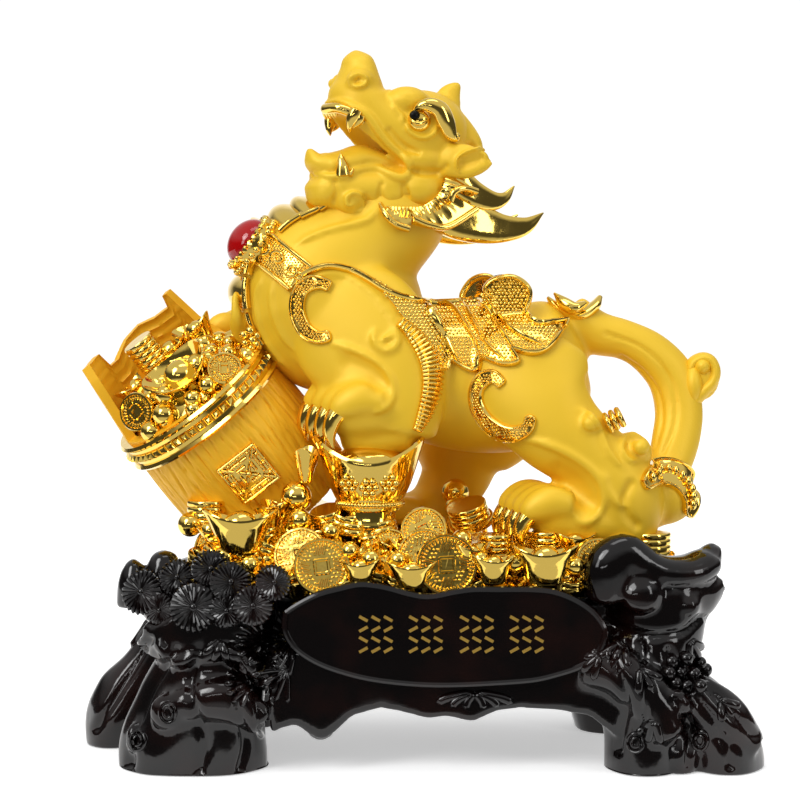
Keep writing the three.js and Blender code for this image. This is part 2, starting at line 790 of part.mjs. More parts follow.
const APRON = [
  [-70, 58], [-69.5, 17.5], [-64, 21], [-56.5, 22.5], [-51.5, 18],
  [-45, 15], [-39.5, 18.5], [-31, 26.5], [-17.5, 30.5], [-7.5, 28.5],
  [5, 25.5], [13, 26.5], [26, 24], [37, 29], [48, 30.5],
  [65, 29.5], [81, 26.5], [95, 15.5], [94.5, 62.5],
];
const PANEL = [
  [-60.5, 76.5], [-46.5, 85], [-27.5, 89.5], [-13, 87.5], [3, 84],
  [15, 85], [29, 87], [61.5, 86.5], [75, 81], [86, 73.5],
  [87.5, 62.5], [80.5, 53], [66.5, 47.5], [47.5, 44.5], [19.5, 42.5],
  [-8.5, 43.5], [-31.5, 47], [-46.5, 52], [-57, 59.5], [-62.5, 68],
];

const block = (x0, x1, y0, y1, z0, z1) => {
  const geometry = new THREE.BoxGeometry(x1 - x0, y1 - y0, z1 - z0);
  geometry.translate((x0 + x1) / 2, (y0 + y1) / 2, (z0 + z1) / 2);
  return solid(geometry);
};

function deck() {
  const slab = prism(
    [[-130, 84], [-132, 66], [-120, 50], [-70, 44], [-40, 50], [40, 50], [70, 44], [108, 50],
      [122, 60], [130, 84]],
    -70, DECK_BACK - 6,
  );
  const backApron = prism(
    [[-66, 60], [-66, 27], [-50, 34], [-20, 32], [0, 27], [20, 32], [50, 34], [74, 27], [74, 60]],
    DECK_BACK - 14, DECK_BACK,
  );
  const backWall = prism([[-120, 40], [118, 40], [122, 80], [-124, 80]], DECK_BACK - 16, DECK_BACK);
  return join([slab, backApron, backWall, prism(APRON, PANEL_BACK, -62), prism(PANEL, PANEL_FACE, -60)]);
}

function feet() {
  const frontLeft = limb([
    [-98.5, -50, 82.5, 38, 24], [-96.5, -54, 64, 29, 28], [-98, -56, 47.5, 27, 29],
    [-103, -56, 28, 31, 29], [-106, -57, 9, 35, 28], [-106, -57, -13, 36, 27],
  ], { sides: 10, rings: 5 });
  const sideRoot = limb([
    [-113, -8, 76.5, 26, 20], [-119, -8, 56.5, 17, 18], [-132.5, -8, 37.5, 14, 16],
    [18.5 - FOOT_REACH, -8, 22.5, 16, 15], [12 - FOOT_REACH, -8, 11.5, 13, 15],
    [13 - FOOT_REACH, -8, -9, 12, 13],
  ], { sides: 8, rings: 5 });
  const inner = limb([
    [114, -54, 83, 28, 22], [113, -56, 59.5, 22, 22], [104, -60, 36, 19, 22],
    [106, -62, 17, 17, 22], [107, -62, -11.5, 17, 21],
  ], { sides: 8, rings: 6 });
  const outer = limb([
    [117.5, -40, 81, 26, 22], [113, -48, 60, 15, 24], [120, -52, 41.5, 14, 24],
    [FOOT_REACH - 29, -54, 23.5, 17, 25], [FOOT_REACH - 19, -56, 8, 19, 26],
    [FOOT_REACH - 19.5, -56, -13, 19, 25],
  ], { sides: 8, rings: 6 });
  const backLeft = limb([
    [-98, DECK_BACK - 28, 84, 34, 24], [-98, DECK_BACK - 26, 40, 30, 24],
    [-106, DECK_BACK - 24, 0, 30, 23], [-106, DECK_BACK - 24, -8, 30, 23],
  ], { sides: 8, rings: 3 });
  const backRight = limb([
    [100, DECK_BACK - 30, 84, 30, 26], [102, DECK_BACK - 28, 40, 28, 26],
    [112, DECK_BACK - 27, 0, 30, 26], [112, DECK_BACK - 27, -8, 30, 26],
  ], { sides: 8, rings: 3 });
  const innerBlock = prism(
    [[59.5, 13], [63, 16], [65, 29], [93.5, 29], [94, -7.5],
      [62, -7.5]],
    -60, -30,
  );
  return [frontLeft, sideRoot, inner, outer, backLeft, backRight, innerBlock];
}

function burls() {
  const made = [
    limb([
      [85.5, -74, 81, 8, 7], [89, -74, 94.5, 12, 9], [97.5, -72, 101.5, 11, 10],
      [112, -68, 94.5, 8, 12], [126, -62, 93, 8, 13], [136, -56, 96, 8, 12],
      [140, -54, 100.5, 6, 8], [140.5, -54, 104, 5, 6],
    ], { sides: 5, rings: 6 }),
    limb([
      [104.5, -70, 80.5, 20, 14], [118, -66, 81, 19, 16], [132, -56, 81.5, 13, 15],
      [142, -46, 84, 7, 12],
    ], { sides: 5, rings: 4 }),
    ball([103.5, -82, 84.5], [11, 6, 9], 6),
    limb([
      [78, -78, 51, 9, 7], [94.5, -80, 48, 11, 8], [108, -82, 35.5, 11, 8],
      [116.5, -82, 19, 9, 8],
    ], { sides: 6, rings: 5 }),
    limb([
      [127.5, -76, 39, 10, 8], [143, -74, 26.5, 12, 10], [156.5, -66, 12.5, 9, 12],
    ], { sides: 8, rings: 6 }),
    limb([
      [-135.5, -70, 57, 6, 6], [-118, -78, 66.5, 7, 7], [-99, -84, 66, 8, 7],
      [-83, -84, 57, 8, 7], [-71, -82, 40, 8, 7],
    ], { sides: 5, rings: 6 }),
    ball([-131.5, -72, 14.5], [7, 6, 10], 6),
    limb([
      [-112, -82, 33, 8, 6], [-89.5, -86, 36, 10, 6], [-73, -82, 26, 8, 6],
    ], { sides: 6, rings: 5 }),
    ball([-45, -80, 25.5], [10, 6, 9], 6),
    limb([
      [-133, -60, 78, 9, 10], [-135.5, -60, 90, 7, 8], [-134.5, -60, 97.5, 4, 6],
    ], { sides: 5, rings: 4 }),
    limb([
      [-117.5, -60, 79, 13, 10], [-120.5, -60, 92.5, 9, 8], [-120.5, -60, 101.5, 5, 6],
    ], { sides: 5, rings: 4 }),
  ];
  const berries = [
    [121.5, -80, 53], [129, -78, 51.5], [120.5, -82, 45], [128, -80, 43.5],
  ];
  berries.forEach((at) => made.push(bead(at, 4.6, 5)));
  return made;
}

// Domed tufts of radial needles.
function pineTufts() {
  const tufts = [
    [-129.5, -72, 84.5, 10.5], [-113, -74, 91.5, 9], [-96.5, -78, 96.5, 9.5], [-87, -82, 90.5, 10],
    [-104, -84, 79.5, 11.5], [-67, -84, 90.5, 8.5], [-76.5, -86, 80, 9.5],
  ];
  return tufts.map(([x, y, z, radius]) => {
    const rows = [[0, -10], [radius * 0.8, -10], [radius, 0], [0, 1.4]];
    const geometry = new THREE.LatheGeometry(rows.map(([r, h]) => new THREE.Vector2(r, h)), 10);
    geometry.rotateX(THREE.MathUtils.degToRad(8));
    geometry.applyQuaternion(
      new THREE.Quaternion().setFromUnitVectors(
        new THREE.Vector3(0, 1, 0), new THREE.Vector3(0, -1, 0.15).normalize(),
      ),
    );
    geometry.translate(x, y, z);
    return solid(geometry);
  });
}

// Carved leaf lobes in the middle of the apron.
function apronCarving() {
  const made = [];
  const middle = [26.5, 36];
  for (const s of [1, -1]) {
    for (let i = 0; i < 2; i++) {
      const x = middle[0] + s * (5 + i * 8);
      made.push(
        limb([
          [x, PANEL_BACK, middle[1] + 4 - i, 1.4, 1.4],
          [x + s * 3, PANEL_BACK, middle[1] - i, 2.4, 2.6],
          [x + s * 1, PANEL_BACK, middle[1] - 5 + i, 1.4, 1.4],
        ], { sides: 5, rings: 4 }),
      );
    }
  }
  return made;
}

function base() {
  const whole = join([deck(), ...feet(), ...burls(), ...pineTufts(), ...apronCarving()]);
  return whole
    .subtract(block(-BEYOND, BEYOND, -BEYOND, BEYOND, -BEYOND, 0))
    .subtract(seat(0, DECK_HEIGHT - GAP, BEYOND));
}

// Takes out points that the surface doesn't need: one is drawn along an edge to its neighbour
// where no face round it moves by more than the given slack or turns over.
function withoutNeedlessPoints(points, faces, slack) {
  const around = points.map(() => new Set());
  faces.forEach((face, f) => face.forEach((p) => around[p].add(f)));
  const normal = (face) => {
    const [a, b, c] = face.map((p) => points[p]);
    return new THREE.Vector3().crossVectors(b.clone().sub(a), c.clone().sub(a));
  };
  const neighbours = (p) => {
    const found = new Set();
    around[p].forEach((f) => faces[f].forEach((q) => q !== p && found.add(q)));
    return found;
  };
  const fits = (gone, kept) => {
    const step = points[kept].clone().sub(points[gone]);
    const shared = neighbours(kept);
    if ([...neighbours(gone)].filter((q) => shared.has(q)).length !== 2) return false;
    for (const f of around[gone]) {
      const before = normal(faces[f]);
      const area = before.length();
      if (area > 1e-6 && Math.abs(before.dot(step)) / area > slack) return false;
      if (faces[f].includes(kept)) continue;
      const after = normal(faces[f].map((p) => (p === gone ? kept : p)));
      if (after.length() < 1e-3) return false;
      if (area > 1e-6 && after.dot(before) < 0.2 * after.length() * area) return false;
    }
    return true;
  };
  let changed = true;
  for (let pass = 0; changed && pass < 8; pass++) {
    changed = false;
    for (let gone = 0; gone < points.length; gone++) {
      if (!around[gone].size) continue;
      const near = [...neighbours(gone)].sort(
        (a, b) => points[a].distanceTo(points[gone]) - points[b].distanceTo(points[gone]),
      );
      const kept = near.find((q) => fits(gone, q));
      if (kept === undefined) continue;
      for (const f of [...around[gone]]) {
        if (faces[f].includes(kept)) {
          faces[f].forEach((p) => around[p].delete(f));
          faces[f] = null;
        } else {
          faces[f] = faces[f].map((p) => (p === gone ? kept : p));
          around[kept].add(f);
        }
      }
      around[gone].clear();
      changed = true;
    }
  }
  return faces.filter((face) => face);
}

function piece(name, made, colour, roughness, metalness) {
  const raw = made.getMesh();
  const points = [];
  for (let i = 0; i < raw.numVert; i++) {
    points.push(new THREE.Vector3().fromArray(raw.vertProperties, i * raw.numProp));
  }
  const faces = [];
  for (let i = 0; i < raw.triVerts.length; i += 3) faces.push([...raw.triVerts.slice(i, i + 3)]);
  const geometry = new THREE.BufferGeometry().setFromPoints(points);
  geometry.setIndex(withoutNeedlessPoints(points, faces, SLACK).flat());
  geometry.computeVertexNormals();
  const mesh = new THREE.Mesh(
    geometry,
    new THREE.MeshStandardMaterial({ color: colour, roughness, metalness, flatShading: true }),
  );
  mesh.name = name;
  return mesh;
}

const group = new THREE.Group();
const upper = new THREE.Group();
upper.position.z = DECK_HEIGHT;
upper.add(piece("cast_figure", figure(), "#e8b530", 0.4, 0.4));
upper.add(piece("chest_jewel", jewel(), "#b01414", 0.12, 0));
group.add(upper);
group.add(piece("rootwood_base", base(), "#120d0c", 0.15, 0));

group.position.y = TO_MIDDLE;

export default group;
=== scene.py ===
import bpy
import bmesh
import math
import numpy as np
from mathutils import Matrix, Vector
from mathutils.bvhtree import BVHTree


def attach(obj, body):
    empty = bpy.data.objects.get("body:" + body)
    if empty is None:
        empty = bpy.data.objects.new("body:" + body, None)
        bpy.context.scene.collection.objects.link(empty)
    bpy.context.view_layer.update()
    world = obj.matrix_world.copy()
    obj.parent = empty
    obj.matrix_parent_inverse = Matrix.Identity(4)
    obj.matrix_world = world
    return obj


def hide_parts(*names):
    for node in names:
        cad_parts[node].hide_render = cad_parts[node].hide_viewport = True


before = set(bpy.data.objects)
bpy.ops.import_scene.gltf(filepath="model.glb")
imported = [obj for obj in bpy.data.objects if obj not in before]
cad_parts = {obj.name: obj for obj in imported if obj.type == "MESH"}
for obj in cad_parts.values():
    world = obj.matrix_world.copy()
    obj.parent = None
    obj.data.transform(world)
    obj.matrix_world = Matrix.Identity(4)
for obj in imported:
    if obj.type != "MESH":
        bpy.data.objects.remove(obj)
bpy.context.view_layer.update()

# A pixiu on a heap of treasure on a root-carved base.
# Lengths are millimetres until a mesh is made. +Z is up, +X is the rump, -Y is the seen side.
MM = 0.001
MIDDLE = 8.5  # plane of symmetry of the beast
EYE = np.array([-8.4, -1095.1, 229.35])  # where the picture is taken from
SIGHT = np.array([-8.4, 14.5, 171.2])  # the point it looks at
DOWN = math.radians(3)  # how far the look is tilted down
REACH = 1111.1  # from EYE to SIGHT
RIGHT = np.array([1.0, 0.0, 0.0])
UPWARD = np.array([0.0, math.sin(DOWN), math.cos(DOWN)])
FORWARD = np.array([0.0, math.cos(DOWN), -math.sin(DOWN)])
HEAD_TURN = math.radians(22)
HEAD_AT = np.array([5.0, 8.5, 286.0])
DECK = 82.0  # top of the base

dice = np.random.default_rng(11)


# Curves and plain shapes, each one a list of points and a list of faces.
def curve(points, count):
    p = np.array(points, dtype=float)
    p = np.vstack([2 * p[0] - p[1], p, 2 * p[-1] - p[-2]])
    spans = len(p) - 3
    made = []
    for t in np.linspace(0, spans, count + 1):
        i = min(int(t), spans - 1)
        f = t - i
        a, b, c, d = p[i], p[i + 1], p[i + 2], p[i + 3]
        made.append(0.5 * (2 * b + (c - a) * f + (2 * a - 5 * b + 4 * c - d) * f**2
                           + (3 * b - a - 3 * c + d) * f**3))
    return np.array(made)


def unit(v):
    v = np.asarray(v, dtype=float)
    return v / np.maximum(np.linalg.norm(v, axis=-1, keepdims=True), 1e-9)


def skin_over(rings):
    rings = np.array(rings, dtype=float)
    count, sides = rings.shape[:2]
    points = np.vstack([rings.reshape(-1, 3), rings[0].mean(0), rings[-1].mean(0)])
    faces = []
    for r in range(count - 1):
        for s in range(sides):
            a = r * sides + s
            b = r * sides + (s + 1) % sides
            faces.append((a, b, b + sides, a + sides))
    for s in range(sides):
        n = (s + 1) % sides
        faces.append((count * sides, n, s))
        faces.append((count * sides + 1, (count - 1) * sides + s, (count - 1) * sides + n))
    return points, faces


# A rounded limb through stations (x, y, z, half height, half width).
def limb(stations, sides, rings, side=(0, 1, 0)):
    s = curve(stations, rings)
    s[:, 3:] = np.maximum(s[:, 3:], 0.15)
    along = unit(np.gradient(s[:, :3], axis=0))
    side = np.array(side, dtype=float)
    across = unit(side - along * (along @ side)[:, None])
    up = np.cross(along, across)
    angle = np.linspace(0, 2 * math.pi, sides, endpoint=False)
    ring = (s[:, None, :3]
            + up[:, None] * (np.cos(angle)[None, :, None] * s[:, 3][:, None, None])
            + across[:, None] * (np.sin(angle)[None, :, None] * s[:, 4][:, None, None]))
    points, faces = skin_over(ring)
    points[-2] -= along[0] * min(s[0, 3], s[0, 4]) * 0.45
    points[-1] += along[-1] * min(s[-1, 3], s[-1, 4]) * 0.45
    return points, faces


def ball(at, radii, sides=16):
    radii = np.broadcast_to(np.array(radii, dtype=float), 3)
    rows = max(6, sides // 2)
    rings = []
    for r in range(1, rows):
        a = math.pi * r / rows
        t = np.linspace(0, 2 * math.pi, sides, endpoint=False)
        rings.append(np.stack([np.sin(a) * np.cos(t), np.sin(a) * np.sin(t),
                               np.full(sides, -np.cos(a))], 1))
    points, faces = skin_over(rings)
    points[-2] = (0, 0, -1)
    points[-1] = (0, 0, 1)
    return points * radii + np.array(at, dtype=float), faces


# A six-sided bump of radius 1, for stippled grounds.
def dome():
    rings = []
    for level, share in ((-0.3, 1.05), (0.25, 0.85), (0.62, 0.45)):
        t = np.linspace(0, 2 * math.pi, 6, endpoint=False)
        rings.append(np.stack([share * np.cos(t), share * np.sin(t), np.full(6, level)], 1))
    points, faces = skin_over(rings)
    points[-1] = (0, 0, 0.85)
    return points, faces


DOME = dome()


# A bent sheet between two edges, with flutes across it and a given thickness.
def sheet(inner, outer, thick, bow, flutes, depth, count=40, across=8):
    a, b = curve(inner, count), curve(outer, count)
    along = unit(np.gradient(a + b, axis=0))
    normal = unit(np.cross(along, unit(b - a)))
    if (normal @ np.array([0.0, 1.0, 0.0])).mean() > 0:
        normal = -normal
    rings = []
    for i in range(count + 1):
        wave = depth * math.cos(2 * math.pi * flutes * i / count)
        top = []
        for t in np.linspace(0, 1, across):
            rise = bow * math.sin(math.pi * t) + wave * math.sin(math.pi * min(1, t * 1.2))
            top.append(a[i] + (b[i] - a[i]) * t + normal[i] * rise)
        rings.append(top + [q - normal[i] * thick for q in reversed(top)])
    return skin_over(rings)


# A shape turned about +Z from a profile of (radius, height).
def turned(profile, sides):
    t = np.linspace(0, 2 * math.pi, sides, endpoint=False)
    rings = [np.stack([r * np.cos(t), r * np.sin(t), np.full(sides, float(h))], 1)
             for r, h in profile]
    return skin_over(rings)


def box(x, y, z):
    c = [(i, j, k) for k in (-0.5, 0.5) for j in (-0.5, 0.5) for i in (-0.5, 0.5)]
    faces = [(0, 2, 3, 1), (4, 5, 7, 6), (0, 1, 5, 4), (2, 6, 7, 3), (0, 4, 6, 2), (1, 3, 7, 5)]
    return np.array(c) * (x, y, z), faces


def block(x0, x1, y0, y1, z0, z1):
    return moved(box(x1 - x0, y1 - y0, z1 - z0), ((x0 + x1) / 2, (y0 + y1) / 2, (z0 + z1) / 2))


def moved(shape, at=(0, 0, 0), turn=None):
    points, faces = shape
    if turn is not None:
        points = points @ np.array(turn.to_3x3()).T
    return points + np.array(at, dtype=float), faces


def turned_by(shape, angle, axis):
    return moved(shape, turn=Matrix.Rotation(angle, 3, axis))


def around(count):
    return [2 * math.pi * k / count for k in range(count)]


def mirrored(shape, flip):
    return flip(shape[0]), [tuple(reversed(f)) for f in shape[1]]


# A turn that brings +Z to the given direction, after a spin about +Z.
def facing(direction, spin=0.0):
    z = Vector(direction).normalized()
    return z.to_track_quat("Z", "Y").to_matrix() @ Matrix.Rotation(spin, 3, "Z")


def together(shapes):
    points, faces, n = [], [], 0
    for p, f in shapes:
        points.append(p)
        faces += [tuple(i + n for i in face) for face in f]
        n += len(p)
    return np.vstack(points), faces


# From shapes to Blender objects.
def deselect_all():
    for o in bpy.context.selected_objects:
        o.select_set(False)


def pick(o):
    deselect_all()
    o.select_set(True)
    bpy.context.view_layer.objects.active = o


def make(name, shapes, smooth=40):
    points, faces = together(shapes)
    mesh = bpy.data.meshes.new(name)
    mesh.from_pydata((points * MM).tolist(), [], faces)
    mesh.validate()
    o = bpy.data.objects.new(name, mesh)
    bpy.context.collection.objects.link(o)
    pick(o)
    bpy.ops.object.mode_set(mode="EDIT")
    bpy.ops.mesh.select_all(action="SELECT")
    bpy.ops.mesh.normals_make_consistent(inside=False)
    bpy.ops.object.mode_set(mode="OBJECT")
    if smooth:
        bpy.ops.object.shade_smooth_by_angle(angle=math.radians(smooth))
    return o


def modify(o, kind, **settings):
    pick(o)
    m = o.modifiers.new(kind.lower(), kind)
    for key, value in settings.items():
        setattr(m, key, value)
    bpy.ops.object.modifier_apply(modifier=m.name)


# Shapes pressed into one body, as clay is, with soft joints between them.
def clay(name, shapes, voxel, rounds):
    o = make(name, shapes, smooth=0)
    modify(o, "REMESH", mode="VOXEL", voxel_size=voxel * MM)
    modify(o, "SMOOTH", factor=0.5, iterations=rounds)
    pick(o)
    bpy.ops.object.shade_smooth()
    return o


# A clay body taken up again, to press more shapes on.
def softened(o):
    shape = (points_of(o), [tuple(f.vertices) for f in o.data.polygons])
    bpy.data.objects.remove(o)
    return shape


def pressed_on(o, shapes, voxel, rounds):
    name = o.name
    return clay(name, [softened(o), *shapes], voxel, rounds)


def points_of(o):
    flat = np.empty(len(o.data.vertices) * 3, dtype=np.float32)
    o.data.vertices.foreach_get("co", flat)
    return flat.reshape(-1, 3).astype(float) / MM


def normals_of(o):
    flat = np.empty(len(o.data.vertices) * 3, dtype=np.float32)
    o.data.vertex_normals.foreach_get("vector", flat)
    return flat.reshape(-1, 3).astype(float)


def set_points(o, points):
    o.data.vertices.foreach_set("co", (points * MM).astype(np.float32).ravel())
    o.data.update()


def tree_of(*objects):
    points, faces = [], []
    n = 0
    for o in objects:
        p = points_of(o)
        points.append(p)
        faces += [[v + n for v in f.vertices] for f in o.data.polygons]
        n += len(p)
    return BVHTree.FromPolygons(np.vstack(points).tolist(), faces)


# Drawing on the seen side: (u, v) are millimetres on the plane through SIGHT that faces EYE.
def drawn(points):
    d = points - EYE
    depth = d @ FORWARD
    return np.stack([SIGHT[0] + d @ RIGHT / depth * REACH, SIGHT[2] + d @ UPWARD / depth * REACH], 1)


def sight_line(u, v):
    return unit(RIGHT * (u - SIGHT[0]) + UPWARD * (v - SIGHT[2]) + FORWARD * REACH)


# The place that is seen at (u, v) and lies at depth y.
def at_depth(u, v, y):
    way = sight_line(u, v)
    return EYE + way * ((y - EYE[1]) / way[1])


# A drawn outline carried straight back from one depth to another.
def prism(outline, y0, y1):
    count = len(outline)
    front = [at_depth(u, v, y0) for u, v in outline]
    points = front + [p * (1, 0, 1) + (0, y1, 0) for p in front]
    return np.array(points), prism_faces(count)


def prism_faces(count):
    faces = [tuple(range(count)), tuple(reversed(range(count, 2 * count)))]
    return faces + [(i, i + count, (i + 1) % count + count, (i + 1) % count) for i in range(count)]


# The far side is drawn as the near one is, by an eye mirrored across the beast.
def body_flip(points):
    return points * (1, -1, 1) + (0, 2 * MIDDLE, 0)


FIRST_GUESS = 1100.0  # distance from the eye to the skin


# The place and direction of the skin seen at (u, v). Where the look misses, the skin nearest to a guess.
def on_skin(tree, u, v, far=False, guess=FIRST_GUESS):
    eye, way = EYE, sight_line(u, v)
    if far:
        eye, way = body_flip(EYE), way * (1, -1, 1)
    hit, normal, _, _ = tree.ray_cast(Vector(eye), Vector(way))
    if hit is None:
        hit, normal, _, _ = tree.find_nearest(Vector(eye + way * guess))
    return np.array(hit), np.array(normal)


def skin_line(tree, line, count, far):
    places, normals = [], []
    guess = FIRST_GUESS
    eye = body_flip(EYE) if far else EYE
    for u, v in curve(line, count):
        p, n = on_skin(tree, u, v, far, guess)
        guess = np.linalg.norm(p - eye)
        places.append(p)
        normals.append(n)
    places, normals = np.array(places), np.array(normals)
    for _ in range(2):
        normals[1:-1] = unit(normals[:-2] + 2 * normals[1:-1] + normals[2:])
        places[1:-1] = (places[:-2] + 2 * places[1:-1] + places[2:]) / 4
    return places, normals


# A rounded ridge laid along a drawn line on the skin. Its ends taper to a share of its width.
def ridge(tree, line, width, height, count, ends, sink=0.8, far=False, lift=0.0, sides=8):
    places, normals = skin_line(tree, line, count, far)
    along = unit(np.gradient(places, axis=0))
    across = unit(np.cross(along, normals))
    t = np.linspace(0, 1, count + 1)
    swell = ends + (1 - ends) * np.minimum(1, np.sin(np.pi * t) * 2.2)
    rings = []
    for i in range(count + 1):
        ring = [places[i] + across[i] * (width / 2) * swell[i] - normals[i] * sink]
        for k in range(sides + 1):
            a = math.pi * k / sides
            ring.append(places[i] + across[i] * math.cos(a) * (width / 2) * swell[i]
                        + normals[i] * (lift + math.sin(a) * height * swell[i]))
        ring.append(places[i] - across[i] * (width / 2) * swell[i] - normals[i] * sink)
        rings.append(ring)
    return skin_over(rings)


# A drawn outline as a flat mesh, cut by a grid.
def gridded(outline, step):
    bm = bmesh.new()
    bm.faces.new([bm.verts.new((u, v, 0)) for u, v in outline])
    low, high = np.min(outline, 0), np.max(outline, 0)
    for axis in (0, 1):
        for at in np.arange(low[axis] + step / 2, high[axis], step):
            normal, place = [0, 0, 0], [0, 0, 0]
            normal[axis], place[axis] = 1, at
            bmesh.ops.bisect_plane(bm, geom=bm.verts[:] + bm.edges[:] + bm.faces[:],
                                   dist=1e-4, plane_co=place, plane_no=normal)
    bmesh.ops.triangulate(bm, faces=[f for f in bm.faces if len(f.verts) > 4])
    bm.verts.index_update()
    return bm


# Values at the inner corners of a mesh drawn towards those of their neighbours.
def evened(bm, values, rounds=4):
    rim = {v.index for e in bm.edges if e.is_boundary for v in e.verts}
    inner = np.array([v.index not in rim for v in bm.verts])
    ends = np.array([[v.index for v in e.verts] for e in bm.edges])
    for _ in range(rounds):
        total, met = np.zeros_like(values), np.zeros(len(values))
        for a, b in ((0, 1), (1, 0)):
            np.add.at(total, ends[:, a], values[ends[:, b]])
            np.add.at(met, ends[:, a], 1)
        values[inner] = (values[inner] + total[inner] / met[inner][:, None]) / 2
    return values


# A raised plate with a drawn outline, following the skin evenly.
def plate(tree, outline, lift, step=1.4, far=False, sink=1.2):
    bm = gridded(outline, step)
    found = [on_skin(tree, v.co.x, v.co.y, far) for v in bm.verts]
    places = evened(bm, np.array([p for p, _ in found]))
    normals = unit(evened(bm, np.array([n for _, n in found])))
    count = len(found)
    faces = [tuple(v.index for v in f.verts) for f in bm.faces]
    walls = []
    for e in bm.edges:
        if e.is_boundary:
            a, b = e.link_loops[0].vert.index, e.link_loops[0].link_loop_next.vert.index
            walls.append((b, a, a + count, b + count))
    under = [tuple(reversed([i + count for i in f])) for f in faces]
    bm.free()
    return np.vstack([places + normals * lift, places - normals * sink]), faces + walls + under


# Lets a drawn line stand out of the skin (or sink into it) by a soft ridge. With flip, a function that
# mirrors places or directions, the line is drawn on the far side.
def press(o, lines, width, amount, flip=None, samples=40):
    points = points_of(o)
    normals = normals_of(o)
    seen, outward = points, normals
    if flip is not None:
        seen = flip(points)
        outward = flip(normals + points) - seen
    facing_eye = ((EYE - seen) * outward).sum(1) > 0
    uv = drawn(seen)
    rise = np.zeros(len(points))
    for line in lines:
        path = curve(line, samples)
        low = path.min(0) - 3 * width
        high = path.max(0) + 3 * width
        near = np.where(facing_eye & (uv > low).all(1) & (uv < high).all(1))[0]
        if not len(near):
            continue
        q = uv[near]
        best = np.full(len(q), 1e9)
        for a, b in zip(path[:-1], path[1:]):
            d = b - a
            t = np.clip(((q - a) @ d) / max(d @ d, 1e-9), 0, 1)
            best = np.minimum(best, np.linalg.norm(q - a - t[:, None] * d, axis=1))
        rise[near] = np.maximum(rise[near], np.exp(-((best / width) ** 2)))
    set_points(o, points + normals * (rise * amount)[:, None])


def loop_inside(outline, u, v):
    inside = False
    for (a, b), (c, d) in zip(outline, outline[1:] + outline[:1]):
        if (b > v) != (d > v) and u < a + (c - a) * (v - b) / (d - b):
            inside = not inside
    return inside


# Low domes in staggered rows over a drawn field: a stippled ground.
def pebbles(tree, outline, pitch, height, lift, far=False):
    low, high = np.min(outline, 0), np.max(outline, 0)
    pebble = (DOME[0] * (pitch / 2, pitch / 2, height), DOME[1])
    made = []
    for row, v in enumerate(np.arange(low[1] + pitch / 2, high[1], pitch * 0.87)):
        for u in np.arange(low[0] + pitch * (0.5 if row % 2 else 0.0), high[0], pitch):
            if loop_inside(outline, u, v):
                shift = dice.uniform(-0.12, 0.12, 2) * pitch
                p, n = on_skin(tree, u + shift[0], v + shift[1], far)
                made.append(moved(pebble, p + n * lift, facing(n)))
    return made


# Finishes.
def srgb(code):
    channels = [int(code[i:i + 2], 16) / 255 for i in (1, 3, 5)]
    linear = [c / 12.92 if c <= 0.04045 else ((c + 0.055) / 1.055) ** 2.4 for c in channels]
    return (*linear, 1.0)


def add(tree, kind, inputs=None, links=None, **settings):
    node = tree.nodes.new(kind)
    for key, value in settings.items():
        setattr(node, key, value)
    for key, value in (inputs or {}).items():
        node.inputs[key].default_value = value
    for key, source in (links or {}).items():
        tree.links.new(source, node.inputs[key])
    return node


def finish_named(name):
    m = bpy.data.materials.new(name)
    m.use_nodes = True
    m.node_tree.nodes.clear()
    return m, m.node_tree


# Width of each pattern in millimetres. Sprayed grit and brush marks are finer than this, and are drawn
# as coarse as they need to be to show.
SAND_GRIT = 0.714
SHADE_PATCH = 45.5
PLATING_WAVE = 6.25
LACQUER_CLOUD = 26.3
GLASS_VEIL = 16.7
BRUSH_MARK = 3.33
TABLE_HAZE = 3.33


# The scale of a pattern, which counts grains to the metre.
def grains(width):
    return 1 / (width * MM)


# Cast resin sprayed with matte gold: a fine sandy grain that scatters light, a shade deeper in places.
def sand_gold(name="sand_gold_spray", deep="#F1C11F", light="#F8CF32"):
    m, t = finish_named(name)
    at = add(t, "ShaderNodeTexCoord").outputs["Object"]
    grit = add(t, "ShaderNodeTexNoise", {"Scale": grains(SAND_GRIT), "Detail": 2.0}, {"Vector": at})
    cloud = add(t, "ShaderNodeTexNoise", {"Scale": grains(SHADE_PATCH), "Detail": 3.0}, {"Vector": at})
    colour = add(t, "ShaderNodeValToRGB", links={"Fac": cloud.outputs["Fac"]})
    colour.color_ramp.elements[0].color = srgb(deep)
    colour.color_ramp.elements[1].color = srgb(light)
    rough = add(t, "ShaderNodeMapRange", {"To Min": 0.46, "To Max": 0.58}, {"Value": grit.outputs["Fac"]})
    bump = add(t, "ShaderNodeBump", {"Strength": 0.25, "Distance": 0.0002}, {"Height": grit.outputs["Fac"]})
    resin = add(t, "ShaderNodeBsdfPrincipled", {"Metallic": 0.15},
                {"Base Color": colour.outputs["Color"], "Roughness": rough.outputs["Result"],
                 "Normal": bump.outputs["Normal"]})
    add(t, "ShaderNodeOutputMaterial", links={"Surface": resin.outputs["BSDF"]})
    return m


# Vacuum plated gold under clear varnish: a mirror with a slight waviness from the casting.
def plated_gold():
    m, t = finish_named("vacuum_plated_gold")
    at = add(t, "ShaderNodeTexCoord").outputs["Object"]
    wave = add(t, "ShaderNodeTexNoise", {"Scale": grains(PLATING_WAVE), "Detail": 2.0}, {"Vector": at})
    rough = add(t, "ShaderNodeMapRange", {"To Min": 0.05, "To Max": 0.13}, {"Value": wave.outputs["Fac"]})
    bump = add(t, "ShaderNodeBump", {"Strength": 0.2, "Distance": 0.0006}, {"Height": wave.outputs["Fac"]})
    gold = add(t, "ShaderNodeBsdfPrincipled", {"Base Color": srgb("#F9D468"), "Metallic": 1.0},
               {"Roughness": rough.outputs["Result"], "Normal": bump.outputs["Normal"]})
    add(t, "ShaderNodeOutputMaterial", links={"Surface": gold.outputs["BSDF"]})
    return m


